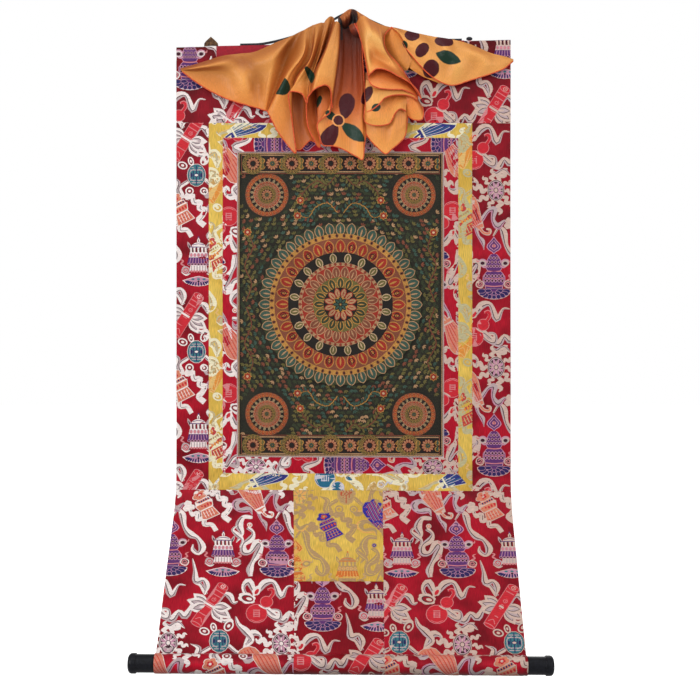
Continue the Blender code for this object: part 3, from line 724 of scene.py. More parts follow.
CANVAS = grown_picture(0, 0, 0)
PIPED = grown_picture(PIPING, PIPING, PIPING)
RED_FRAME = grown_picture(RED_SIDE, RED_TOP, RED_BOTTOM)
YELLOW_FRAME = grown_picture(RED_SIDE + YELLOW_SIDE, RED_TOP + YELLOW_TOP, LOWER_SEAM - PICTURE_BOTTOM)
red_strips = mitred(PIPED, RED_FRAME)
yellow_strips = mitred(RED_FRAME, YELLOW_FRAME)
cloth = {"picture_canvas": cloth_sheet("picture_canvas", four_sided(CANVAS), (canvas_paint, canvas_back),
                                       "picture_canvas")}
for side in red_strips:
    for colour, strips, materials in (("red", red_strips, RED_CLOTH),
                                      ("yellow", yellow_strips, YELLOW_CLOTH)):
        strip = f"{colour}_border_{side}"
        cloth[strip] = cloth_sheet(strip, four_sided(strips[side]), materials, f"{colour}_brocade")

# %% The piping
PIPING_HALF_WIDTH = 0.00055
PIPING_STAND = 0.00105
PIPING_TWIST = 0.00008
PIPING_SIDES = 12
PIPING_STEP = 0.0011
PIPING_TWIST_RATE = 2.1


def piping_run(side, start, end):
    """An oval cord from one flat corner to the next, mitred, its stand waving with its twist."""
    start, end = np.array(start), np.array(end)
    length = np.linalg.norm(end - start)
    along = (end - start) / length
    across = np.array([-along[1], along[0]])
    turn = np.linspace(0, 2 * math.pi, PIPING_SIDES, endpoint=False)
    aside = np.cos(turn) * PIPING_HALF_WIDTH
    steps = int(length / PIPING_STEP)
    share = np.linspace(0, 1, steps + 1)[:, None]
    reach = (length - 2 * SEAM_GAP + 2 * aside) * share + SEAM_GAP - aside
    flat = start + along * reach[..., None] + across * (-aside)[None, :, None]
    twist = PIPING_TWIST * np.sin(reach / PIPING_STEP * PIPING_TWIST_RATE + turn * 2)
    lift = np.sin(turn) * PIPING_STAND + twist
    points = cloth_points(flat[..., 0], flat[..., 1], lift)
    walls = grid_faces(steps + 1, PIPING_SIDES, around=True).tolist()
    first = list(range(PIPING_SIDES))
    last = [steps * PIPING_SIDES + number for number in first]
    made = add_piece(f"cord_picture_{side}", points, walls + [first, last[::-1]], [pale_cord])
    return finish_piece(made, "piping", f"picture_piping_{side}")


middle_line = grown_picture(PIPING / 2, PIPING / 2, PIPING / 2)
for number, side in enumerate(("top", "right", "bottom", "left")):
    piping_run(side, middle_line[number], middle_line[(number + 1) % 4])
print("piping: four runs of oval cord")


# %% [markdown]
# ## The outer field
#
# The sides are long straight strips. The lower panels run over the curl, down the slope and
# round the roller, so their rows lie closer together there: a grid has to be fine where
# the shape bends. The top strip turns over the batten and closes behind it in a pocket.

# %% Sides, lower panels and the yellow patch
SLEEVE_ROWS = 64
OUTER_CLOTH = (red_satin, red_reverse)


def lower_rows(top):
    """Rows of a lower panel: every three millimetres, and closer round the roller."""
    free = np.linspace(top, SLEEVE_CREASE, int((SLEEVE_CREASE - top) / GRID_STEP))
    return np.concatenate([free, np.linspace(SLEEVE_CREASE, SLEEVE_END, SLEEVE_ROWS + 1)[1:]])


def lower_flat(left, right, top):
    """Flat points of a panel between two side seams, down to the end of the sleeve."""
    v = lower_rows(top + SEAM_GAP / 2)
    left_u = seam_u(left, v) + SEAM_GAP / 2
    right_u = seam_u(right, v) - SEAM_GAP / 2
    columns = round(float(right_u[0] - left_u[0]) / GRID_STEP)
    across = np.linspace(0, 1, columns + 1)[None, :]
    u = left_u[:, None] * (1 - across) + right_u[:, None] * across
    return np.stack([u, np.broadcast_to(v[:, None], u.shape)], axis=-1)


EDGES = ((-HALF_WIDTH, -HALF_WIDTH), (HALF_WIDTH, HALF_WIDTH))
side_left = ((-HALF_WIDTH, FRAME_TOP), (FRAME_LEFT, FRAME_TOP), (FRAME_LEFT, LOWER_SEAM),
             (-HALF_WIDTH, LOWER_SEAM))
side_right = ((FRAME_RIGHT, FRAME_TOP), (HALF_WIDTH, FRAME_TOP), (HALF_WIDTH, LOWER_SEAM),
              (FRAME_RIGHT, LOWER_SEAM))
patch_corners = ((LEFT_SEAM[0], LOWER_SEAM), (RIGHT_SEAM[0], LOWER_SEAM),
                 (float(seam_u(RIGHT_SEAM, PATCH_BOTTOM)), PATCH_BOTTOM),
                 (float(seam_u(LEFT_SEAM, PATCH_BOTTOM)), PATCH_BOTTOM))
outer_flats = {
    "outer_left": four_sided(side_left),
    "outer_right": four_sided(side_right),
    "lower_left": lower_flat(EDGES[0], LEFT_SEAM, LOWER_SEAM),
    "lower_centre": lower_flat(LEFT_SEAM, RIGHT_SEAM, PATCH_BOTTOM),
    "lower_right": lower_flat(RIGHT_SEAM, EDGES[1], LOWER_SEAM),
}
for name, flat in outer_flats.items():
    face = deep_satin if name == "lower_centre" else red_satin
    cloth[name] = cloth_sheet(name, flat, (face, red_reverse), "red_brocade")
cloth["patch"] = cloth_sheet("patch", four_sided(patch_corners), YELLOW_CLOTH, "yellow_brocade")

# %% The top strip and its pocket for the batten
POCKET_BACK = 0.014
POCKET_CLOSING_DROP = 0.0045
POCKET_CLOSING_REACH = 0.00515
POCKET_ROWS = 46
RISE_ROWS = 50
half_turn = math.pi * POCKET_REACH
closing_slant = math.atan2(POCKET_CLOSING_REACH, POCKET_CLOSING_DROP)
pocket_length = half_turn + POCKET_BACK + math.hypot(POCKET_CLOSING_DROP, POCKET_CLOSING_REACH)


def pocket_line(u):
    """v where the top strip starts to turn over the batten, on a slightly tilted line."""
    share = u / CLOTH_WIDTH + 0.5
    return TOP_EDGE_LEFT * (1 - share) + TOP_EDGE_RIGHT * share + SOLID_THICKNESS / 2 + POCKET_REACH


def top_points(u, v, lift):
    """The top strip: plumb, a half circle over the batten, plumb behind, and slanting back in."""
    line = pocket_line(u)
    past = np.clip(line - v, 0.0, None)
    turn = np.clip(past / POCKET_REACH, 0.0, math.pi)
    back = np.clip(past - half_turn, 0.0, POCKET_BACK)
    closing = np.clip(past - half_turn - POCKET_BACK, 0.0, None)
    height = POCKET_REACH * np.sin(turn) - back - closing * math.cos(closing_slant)
    y = -POCKET_REACH * np.cos(turn) - closing * math.sin(closing_slant)
    shown = np.where(past > 0, line - height, v)
    normal_y = np.where(closing > 0, math.cos(closing_slant), -np.cos(turn))
    normal_z = np.where(closing > 0, -math.sin(closing_slant), np.sin(turn))
    lifted = lift + np.where(past > 0, 0.0, unevenness(u, v) + puckers(u, v))
    z = -shown - ROLLER_TILT * u * shown / SLEEVE_CREASE
    return np.stack([CLOTH_MIDDLE_X + u, y + normal_y * lifted, z + normal_z * lifted], axis=-1)


top_u = np.linspace(-HALF_WIDTH, HALF_WIDTH, round(CLOTH_WIDTH / GRID_STEP) + 1)[None, :]
rise_share = np.linspace(0, 1, RISE_ROWS)[:, None]
rise_v = pocket_line(top_u) * (1 - rise_share) + (FRAME_TOP - SEAM_GAP / 2) * rise_share
pocket_v = pocket_line(top_u) - np.linspace(pocket_length, 0, POCKET_ROWS, endpoint=False)[:, None]
top_v = np.concatenate([pocket_v, rise_v])
top_flat = np.stack([np.broadcast_to(top_u, top_v.shape), top_v], axis=-1)
cloth["outer_top"] = cloth_sheet("outer_top", top_flat, OUTER_CLOTH, "red_brocade", top_points)
# %% [markdown]
# ## Woven ornament: how the flat shapes are made
#
# In brocade an ornament is a field of coloured thread that stands a little above the satin.
# A painted texture would not give that edge, so each ornament is a set of flat shapes:
# ovals, leaves, lobed clouds and ribbons, all worked out from a few sizes. A shape is kept
# as triangles on the flat cloth, because triangles are easy to cut at a seam and to carry
# onto the hanging cloth. The first shape lies a tenth of a millimetre above the satin and
# each next one seven thousandths above the one before, so many shapes make a thick ornament.

# %% Flat shapes as triangles
LAYER = 0.000007
RELIEF = 0.00010
OVAL_SIDES = 14
SASH_FULLNESS = 1.42
SASH_SWING = 0.26
RIBBON_STEPS = 4
SPIRAL_POINTS = 10
SPIRAL_TURNS = 1.6
SPIRAL_SHRINK = 0.8


def fan(outline):
    """Triangles from the middle of an outline to each of its sides."""
    outline = np.asarray(outline, dtype=float)
    middle = np.broadcast_to(outline.mean(axis=0), outline.shape)
    return np.stack([middle, outline, np.roll(outline, -1, axis=0)], axis=1)


def strip(left, right):
    """Triangles between two lines with as many points."""
    first = np.stack([left[:-1], right[:-1], right[1:]], axis=1)
    second = np.stack([left[:-1], right[1:], left[1:]], axis=1)
    return np.concatenate([first, second])


def oval(x, y, half_width, half_height, turn=0.0, lobes=0, depth=0.0):
    """An oval, or a cloud or flower where the radius swells by depth at each of its lobes."""
    sides = max(OVAL_SIDES, lobes * 6)
    angle = np.linspace(0, 2 * math.pi, sides, endpoint=False)
    swell = 1 - depth + depth * np.abs(np.sin(angle * lobes / 2)) if lobes else 1.0
    flat = np.stack([half_width * swell * np.cos(angle), half_height * swell * np.sin(angle)], axis=-1)
    return fan(flat @ turning(turn) + (x, y))


def turning(degrees):
    """The matrix that turns rows of points clockwise on the page, where y runs down."""
    angle = math.radians(degrees)
    return np.array([[math.cos(angle), math.sin(angle)], [-math.sin(angle), math.cos(angle)]])


def leaf(x, y, length, width, turn=0.0, fullness=0.8, steps=8):
    """A pointed leaf from its foot: half width times a sine to a power, along its length."""
    share = np.linspace(0, 1, steps + 1)
    side = width / 2 * np.sin(math.pi * share) ** fullness
    spine = share * length
    left = np.stack([spine, -side], axis=-1) @ turning(turn) + (x, y)
    right = np.stack([spine, side], axis=-1) @ turning(turn) + (x, y)
    return strip(left, right)


def along_rows(points, steps):
    """A smooth curve (Catmull-Rom) through each row of points, all rows at once."""
    first = 2 * points[:, :1] - points[:, 1:2]
    last = 2 * points[:, -1:] - points[:, -2:-1]
    padded = np.concatenate([first, points, last], axis=1)
    p0, p1, p2, p3 = (padded[:, k:padded.shape[1] - 3 + k, None, :] for k in range(4))
    t = np.linspace(0, 1, steps, endpoint=False)[None, None, :, None]
    bend = 2 * p1 + (p2 - p0) * t + (2 * p0 - 5 * p1 + 4 * p2 - p3) * t ** 2
    curve = 0.5 * (bend + (3 * p1 - p0 - 3 * p2 + p3) * t ** 3)
    return np.concatenate([curve.reshape(len(points), -1, points.shape[-1]), points[:, -1:]], axis=1)


def smooth_line(points, steps=RIBBON_STEPS):
    """A smooth curve through a few points, with a few steps between each two."""
    return along_rows(np.asarray(points, dtype=float)[None], steps)[0]


def band(points, width, start=1.0, end=1.0, offset=0.0, swing=0.0):
    """
    A ribbon along a smooth line. Its ends have a share of its width, offset moves it aside
    by a share of its own, and swing makes it turn over.
    """
    line = smooth_line(points)
    along = np.gradient(line, axis=0)
    along /= np.linalg.norm(along, axis=1, keepdims=True) + 1e-9
    side = np.stack([-along[:, 1], along[:, 0]], axis=-1)
    share = np.linspace(0, 1, len(line))
    turns = 1 + swing * np.cos(math.pi * share * (len(points) - 1))
    swell = (np.interp(share, [0, 0.25, 0.7, 1], [start, 1.0, 1.0, end]) * turns)[:, None]
    middle = line + side * offset * swell
    return strip(middle - side * width / 2 * swell, middle + side * width / 2 * swell)


def spiral(x, y, radius, width, hand=1):
    """A ribbon that winds in: the radius shrinks evenly as the angle grows."""
    share = np.linspace(0, 1, SPIRAL_POINTS)
    angle = share * SPIRAL_TURNS * 2 * math.pi
    reach = radius * (1 - SPIRAL_SHRINK * share)
    points = np.stack([x + hand * reach * np.cos(angle), y + reach * np.sin(angle)], axis=-1)
    return band(points, width, 0.6, 0.4)


# %% A drawing that collects shapes
def shades(**colours):
    """A table of colours by name, each given as seen on a screen."""
    return {name: linear(*colour) for name, colour in colours.items()}


THREADS = shades(
    silver=(252, 238, 234), dark=(62, 12, 34), purple=(98, 48, 116),
    lilac=(206, 148, 172), navy=(40, 30, 92), coral=(226, 134, 104),
    scarlet=(214, 36, 50), teal=(56, 124, 134), pink=(224, 136, 140),
    grey=(200, 176, 178), ground=(158, 8, 30),
    paint_red=(182, 56, 42), paint_brown=(150, 84, 62), paint_beige=(206, 160, 116),
    paint_green=(122, 112, 62), paint_deep=(66, 74, 50), paint_teal=(70, 98, 84),
    paint_ochre=(216, 156, 76), paint_dark=(40, 34, 30), paint_pale=(232, 196, 156),
)
THREAD_NAMES = list(THREADS)


class Drawing:
    """Flat shapes of one ornament, in millimetres with y down, each with a thread colour."""

    def __init__(self, turn=0.0):
        self.turn = turning(turn)
        self.triangles, self.colours, self.levels = [], [], []

    def add(self, shape, colour):
        """Lay a shape on top of those before it."""
        self.triangles.append(shape @ self.turn)
        self.colours.append(np.full(len(shape), THREAD_NAMES.index(colour)))
        self.levels.append(np.full(len(shape), len(self.levels)))
        return self

    def edged(self, shape_of, fill, edge, *sizes, margin=1.1):
        """A shape in its edge colour and the same one, smaller, in its fill."""
        x, y, half_width, half_height, *rest = sizes
        self.add(shape_of(x, y, half_width, half_height, *rest), edge)
        self.add(shape_of(x, y, half_width - margin, half_height - margin, *rest), fill)

    def sash(self, points, width=5.4, start=0.5, end=0.15, cloth="silver"):
        """A woven ribbon: a pale band with a tinted edge and a fine dark thread."""
        width = width * SASH_FULLNESS
        edge = "lilac" if cloth == "grey" else "grey"
        lines = ((1, 0, 1, cloth), (0.26, 0.37, 1, edge), (0.13, 0.17, 0.5, "dark"))
        for wide, offset, close, colour in lines:
            self.add(band(points, width * wide, start, end * close, width * offset, SASH_SWING), colour)

    def absorb(self, other, x=0.0, y=0.0):
        """Lay all the shapes of another drawing on this one."""
        for triangles, colours in zip(other.triangles, other.colours):
            self.add(triangles + (x, y), THREAD_NAMES[colours[0]])

    def mirrored(self, shape, colour):
        """The same shape on the left and the right."""
        self.add(shape, colour)
        self.add(shape * np.array([-1, 1]), colour)

    def arrays(self):
        """All triangles in metres, with their colours and levels."""
        triangles = np.concatenate(self.triangles) * MM
        return triangles, np.concatenate(self.colours), np.concatenate(self.levels)


def sided(hand, *points):
    """The same points on the right, or for a hand of -1 on the left."""
    return [(hand * x, y) for x, y in points]


def trapeze(top, top_half, bottom, bottom_half):
    """A symmetric piece with a level top and bottom edge."""
    return fan([(-top_half, top), (top_half, top), (bottom_half, bottom), (-bottom_half, bottom)])


def bar(x, y, half_width, half_height, turn=0.0):
    """A straight rod about its middle."""
    corners = np.array([(-half_width, -half_height), (half_width, -half_height),
                        (half_width, half_height), (-half_width, half_height)])
    return fan(corners @ turning(turn) + (x, y))


# %% [markdown]
# ## Eight traditional emblems
#
# The pattern has eight old good-luck emblems, most with ribbons about them: a tiered canopy,
# a treasure vase, a scroll, a gourd, a wheel, a round medallion, a flower basket and a fan.
# Each is drawn here from its own few sizes, in millimetres about its middle.

# %% Canopy and vase, each on a lotus base
BOWL_DEPTH = 13.0
FOOT_DEPTH = 3.0
BODY_RIM = 1.1
LOZENGE = np.array([(0, -13.5), (4, -8), (9.5, -2), (10.8, 2), (8, 6), (3, 9), (0, 12),
                    (-3, 9), (-8, 6), (-10.8, 2), (-9.5, -2), (-4, -8)])


def lotus_base(d, y, half_width, petals):
    """A boat-shaped lotus: two rows of dark petals with pale edges, spread from its middle."""
    angle = np.linspace(0, 2 * math.pi, 24, endpoint=False)
    rise = np.where(np.sin(angle) > 0, BOWL_DEPTH, FOOT_DEPTH) * np.sin(angle)
    hull = np.stack([half_width * np.cos(angle), rise], axis=-1)
    d.add(fan(hull + (0, y)), "silver")
    d.add(fan(hull * 0.93 + (0, y)), "purple")
    for share, count, long, wide in ((0.73, petals + 4, 0.24, 3.4), (0.34, petals, 0.2, 2.6)):
        for turn in np.linspace(0.10, math.pi - 0.10, count):
            out, down = half_width * math.cos(turn), BOWL_DEPTH * math.sin(turn)
            sizes = (math.hypot(out, down) * long, wide, math.degrees(math.atan2(down, out)))
            d.edged(oval, "navy", "lilac", out * share, down * share + y, *sizes, margin=0.5)


def stacked(d, profile, edge, fill):
    """A turned body, given as rows of height and half width, in one colour with a rim of another."""
    rows = np.array(profile, dtype=float)
    for shrink, colour in ((0.0, edge), (BODY_RIM, fill)):
        half = np.maximum(rows[:, 1] - shrink, 0.3)
        d.add(strip(np.stack([-half, rows[:, 0]], axis=-1), np.stack([half, rows[:, 0]], axis=-1)), colour)


def canopy():
    """A tiered canopy: spire, roof on columns, fringed tiers, curling clouds and a low lotus."""
    d = Drawing()
    d.add(oval(0, -35, 1.2, 1.8), "purple")
    d.add(leaf(0, -26, 9, 4.4, -90, 1.2), "silver")
    d.add(band([(0, -32), (0, -27)], 1.0), "dark")
    d.mirrored(leaf(11.0, -17, 13, 4.2, -68), "grey")
    d.mirrored(leaf(11.3, -17.5, 9, 1.8, -68), "dark")
    d.add(fan([(-10.6, -21.5), (-9, -24.5), (-5, -27), (0, -28), (5, -27), (9, -24.5),
               (10.6, -21.5)]), "silver")
    d.add(band([(-8.4, -24.2), (0, -25.8), (8.4, -24.2)], 1.0), "purple")
    d.add(trapeze(-22, 11.5, -20.4, 12.5), "purple")
    for x in (-10.5, -5.6, 0, 5.6, 10.5):
        d.add(trapeze(-20.6, 1.9, -13.2, 1.3) + (x, 0), "silver")
        d.add(bar(x + 1.7, -17.2, 0.7, 3.0), "dark")
    d.add(trapeze(-13.6, 12.5, -5.6, 14), "silver")
    for x in np.linspace(-10.5, 10.5, 5):
        d.edged(oval, "pink", "lilac", x, -9.6, 2.3, 2.9, margin=0.9)
    d.add(trapeze(-6.2, 13.6, 3.6, 16.6), "purple")
    for x in np.linspace(-13, 13, 7):
        d.add(band([(x * 0.85, -5.6), (x, 3.2)], 0.9), "lilac")
        d.edged(oval, "dark", "lilac", x * 1.05, 3.6, 2.3, 1.9, margin=0.8)
    d.add(trapeze(5.0, 11.5, 13.6, 13), "silver")
    for x in np.linspace(-10, 10, 6):
        d.add(bar(x, 9.2, 0.8, 3.6), "grey")
        d.add(oval(x, 13.8, 1.9, 1.6), "pink")
    for hand in (-1, 1):
        d.add(oval(hand * 18.6, 12.4, 6.4, 6.2, 20, 4, 0.08), "grey")
        d.add(spiral(hand * 18.6, 12.4, 5.2, 1.2, hand), "scarlet")
        d.add(band(sided(hand, (20, 6), (25, 3), (22, -1), (26, -3)), 2.4, 0.6, 0.2), "pink")
        d.add(band(sided(hand, (12, 17.0), (18, 19.4), (25, 15)), 1.8, 0.5, 0.2), "silver")
    low_lotus(d, 28)
    return d


def low_lotus(d, y):
    """A shallow lotus seen from its side: a flat cone of pale petals, each with a dark vein."""
    hull = np.array([(-23.4, -1), (-12, -4.6), (0, -7.4), (12, -4.6), (23.4, -1), (18, 3.4),
                     (9, 6.6), (0, 7.6), (-9, 6.6), (-18, 3.4)])
    d.add(fan(hull + (0, y)), "silver")
    d.add(fan(hull * 0.9 + (0, y)), "lilac")
    for turn in np.linspace(8, 172, 13):
        aim = math.radians(turn)
        d.add(oval(16.6 * math.cos(aim), 4.2 * math.sin(aim) + y - 0.2, 3.2, 1.15, turn), "navy")
    for x in (-8, 0, 8):
        d.add(oval(x, y - 2.6 - 0.3 * (x == 0), 2.4, 1.3), "teal")
    d.add(oval(0, y + 0.4, 1.6, 1.4), "dark")


def vase():
    """A treasure vase: flaming jewel, eyed handles, two patterned bulges, curls and a lotus."""
    d = Drawing()
    for size, colour in ((1.0, "lilac"), (0.87, "purple"), (0.66, "lilac"), (0.54, "purple"),
                         (0.28, "pink")):
        d.add(fan(LOZENGE * size + (0, -40)), colour)
    d.add(band([(0, -50), (0, -33)], 0.8), "dark")
    stacked(d, ((-28, 4), (-25, 7), (-21.5, 9), (-16, 11.5), (-11, 12.5), (-7, 11.5), (-4, 9.5)),
            "lilac", "purple")
    for y, reach, count in ((-22.4, 4.4, 3), (-16.4, 8, 4), (-10.6, 8.6, 5)):
        for x in np.linspace(-reach, reach, count):
            d.edged(oval, "dark", "lilac", x, y, 2.1, 2.2, margin=0.8)
    for hand in (-1, 1):
        handle = sided(hand, (9, -11), (14, -9), (19, -13), (21, -18), (15, -20), (9, -16))
        d.add(band(handle, 2.6, 0.7, 0.7), "lilac")
        d.edged(oval, "grey", "silver", hand * 16.4, -14.8, 5.8, 4.4, hand * -16, margin=0.9)
        d.add(oval(hand * 16.4, -14.8, 3.0, 2.4), "dark")
        d.add(band(sided(hand, (21, -18), (24, -17), (25, -21)), 1.6, 0.8, 0.2), "pink")
    stacked(d, ((-3.4, 10), (-1, 12.5), (4, 16), (10, 16.4), (15, 14), (21.5, 12.5)), "lilac", "purple")
    d.add(band([(-10, -3.6), (0, -2.6), (10, -3.6)], 1.6), "pink")
    for y, reach, count in ((3.6, 12, 6), (10.4, 12.4, 6)):
        for x in np.linspace(-reach, reach, count):
            d.edged(oval, "dark", "lilac", x, y, 2.3, 2.5, margin=0.9)
    d.add(band([(-14.4, 6.8), (0, 7.6), (14.4, 6.8)], 1.0), "pink")
    d.add(band([(-12, 17.6), (0, 18.6), (12, 17.6)], 1.5), "pink")
    for hand in (-1, 1):
        d.edged(oval, "dark", "silver", hand * 20.4, 15.6, 6.4, 6.0, 20, 4, 0.08, margin=1.4)
        d.add(spiral(hand * 20.4, 15.6, 4.6, 1.5, hand), "pink")
        d.add(band(sided(hand, (19, 9.6), (24, 7), (21.4, 3), (26, 0)), 2.2, 0.8, 0.2), "pink")
    lotus_base(d, 24.4, 24.6, 5)
    return d


# %% Scroll, gourd, wheel and medallion
def scroll():
    """A tied scroll on a slant, with two looped bows of cloud-edged ribbon and their tails."""
    d = Drawing()
    d.sash([(-6, -14), (-13, -27), (-20, -34), (-21, -45)], 5.0, 0.6, 0.1)
    d.sash([(8, 0), (18, -14), (26, -12), (31, -2), (37, -4)], 5.2, 0.6, 0.1)
    d.sash([(2, 6), (16, 24), (27, 25), (31, 33)], 4.6, 0.5, 0.1)
    for x, y, aims in ((-3, 3, (222, 196, 168)), (3, 4, (62, 34, 4))):
        for aim, long in zip(aims, (27, 30, 26)):
            d.add(leaf(x, y, long, 15, aim, 1.1), "silver")
            d.add(leaf(x, y, long * 0.80, 8.6, aim, 1.0), "dark")
            d.add(leaf(x, y, long * 0.76, 6.8, aim, 1.0), "grey")
            d.add(leaf(x, y, long * 0.50, 3.4, aim, 0.9), "silver")
    rod = Drawing(-58)
    rod.add(bar(0, 0, 34, 8.2), "pink")
    rod.add(bar(0, 0, 33.4, 7.5), "scarlet")
    for x in (-32, -16, -3.2, 3.2, 17, 24):
        rod.add(bar(x, 0, 0.6, 7.6), "pink")
    rod.add(bar(0, 0, 1.5, 8.8), "silver")
    rod.add(oval(-33, 0, 3.0, 8.2), "pink")
    rod.add(oval(-33, 0, 2.0, 7.0), "scarlet")
    rod.add(oval(33, 0, 4.6, 8.2), "pink")
    rod.add(oval(33, 0, 3.9, 7.4), "scarlet")
    rod.add(spiral(33, 0, 3.8, 0.8), "silver")
    rod.add(spiral(10, 0, 3.6, 0.8), "pink")
    rod.add(band([(-27, -5), (-22, 0), (-27, 5)], 0.9), "pink")
    d.absorb(rod, -1, 2)
    return d


def gourd():
    """A double gourd with a hooked stem, a small flower on its bulb and ribbons round its waist."""
    d = Drawing()
    d.sash([(-12, -6), (-22, -28), (-14, -38), (-5, -22), (7, -36), (20, -37), (29, -16), (38, -31),
            (48, -31)], 6.0, 0.6, 0.1)
    d.sash([(8, 0), (20, 10), (31, 19), (40, 8), (49, 14), (58, -4), (52, -10)], 5.8, 0.6, 0.3)
    d.sash([(6, 4), (16, 14), (25, 16), (26, 6), (17, 4)], 5.0, 0.5, 0.4)
    d.add(oval(-17, -13, 12.5, 8.4, 15, 6, 0.16), "silver")
    d.add(oval(-16, -12.6, 8.2, 4.8, 15), "dark")
    d.add(oval(-15.6, -12.4, 7.0, 3.8, 15), "ground")
    d.add(oval(-14, -12, 4.0, 2.2, 15), "silver")
    d.add(oval(-4, -24, 8.5, 5.6, -60, 5, 0.18), "silver")
    d.add(oval(-3.6, -23, 4.6, 2.4, -60), "scarlet")
    d.edged(oval, "scarlet", "pink", -4, 9.5, 14.6, 14.2, margin=0.9)
    d.edged(oval, "scarlet", "pink", 9.5, -8, 9.0, 8.8, margin=0.9)
    d.add(band([(14, -14), (19, -21), (17, -27), (11, -26)], 5.2, 1.0, 0.6), "pink")
    d.add(band([(14, -13), (18.6, -21), (17, -26.4), (12, -25.6)], 3.6, 1.0, 0.6), "scarlet")
    d.add(band([(-1, -3), (5, 1), (10, 3)], 2.0, 0.7, 0.7), "silver")
    for y in (4.6, 7.6, 10.6, 13.6):
        d.add(bar(-4, y, 4.6 if y % 6 > 4 else 2.8, 0.7), "pink")
    for hand in (-1, 1):
        d.add(bar(-4 + hand * 3.6, 10.6, 0.7, 4.2), "pink")
    d.add(band([(-13, 18), (-4, 21.4), (5, 18)], 0.9, 0.3, 0.3), "pink")
    return d


def flame(d, angle, reach, size):
    """A curling tongue outside a disc: an S-shaped ribbon that points away from the middle."""
    wave = np.array([(0, 0), (3.2, -2.6), (6.2, 1.6), (9.6, -1.4), (12, 1.2)]) * size
    aspect = np.array([1.0, 1.12])
    spin = turning(angle)
    foot = np.array([reach, 0]) @ spin * aspect
    d.add(band(wave @ spin + foot, 3.6 * size, 0.7, 0.25), "silver")
    d.add(oval(*(wave[1] @ spin + foot), 2.4 * size, 2.0 * size), "silver")


def wheel():
    """A wheel of eight spokes in a grey ring, with curling tongues all round it."""
    d = Drawing()
    for number, angle in enumerate(range(8, 368, 36)):
        flame(d, angle, 13.0, 1.15 + 0.30 * (number % 3))
    d.add(oval(0, 0, 12.8, 15.8), "silver")
    d.add(oval(0, 0, 11.9, 14.9), "dark")
    d.add(oval(0, 0, 11.0, 14.0), "grey")
    d.add(oval(0, 0, 9.8, 12.6), "dark")
    for angle in range(0, 360, 45):
        d.add(leaf(0, 0, 11.0, 3.6, angle + 22, 0.6) * np.array([1, 1.25]), "lilac")
        d.add(leaf(2 * math.cos(math.radians(angle)), 2 * math.sin(math.radians(angle)), 8.5, 1.4, angle),
              "silver")
    d.edged(oval, "silver", "dark", 0, 0, 3.4, 3.9, margin=0.9)
    return d


def medallion():
    """A round teal medallion with a woven fret, five loops round it and a ribbon at each side."""
    d = Drawing()
    d.sash([(-12, 9), (-24, 18), (-22, 30), (-30, 24), (-27, 10), (-38, 4)], 5.6, 0.5, 0.15)
    d.sash([(12, 6), (24, 16), (34, 14), (36, 0), (44, -12), (54, -8), (52, 4)], 5.6, 0.5, 0.2)
    loops = ((-8, -20, 4.4, 6.6, -15), (12, -22, 6.2, 8.4, 30), (-20, -14, 7.4, 5.6, 20),
             (-10, 23, 6.2, 6.0, 0), (11, 23, 6.0, 5.4, 20))
    for x, y, wide, tall, turn in loops:
        for inset, colour in ((0.0, "silver"), (2.0, "dark"), (2.7, "ground")):
            d.add(oval(x, y, wide - inset, tall - inset, turn), colour)
        d.add(oval(x, y, wide * 0.32, tall * 0.32, turn), "silver")
    d.add(oval(0, 0, 13.6, 16.6), "silver")
    d.add(oval(0, 0, 12.9, 15.9), "dark")
    d.add(oval(0, 0, 12.4, 15.4), "teal")
    for y in (-11, -7.4, 7.4, 11):
        reach = 12.2 * math.sqrt(1 - (y / 15.4) ** 2) - 1.6
        d.add(bar(0, y, reach, 0.6), "grey")
    for hand in (-1, 1):
        d.add(band(sided(hand, (3, -9), (9, -5), (9.4, 0), (9, 5), (3, 9)), 1.1), "grey")
        d.add(bar(hand * 4.4, 0, 0.6, 6.2), "navy")
        d.add(oval(hand * 7.0, 0, 1.5, 3.4), "navy")
    d.add(bar(0, 0, 0.7, 14.0), "navy")
    d.edged(oval, "silver", "navy", 0, 0, 3.6, 2.6, margin=1.0)
    return d


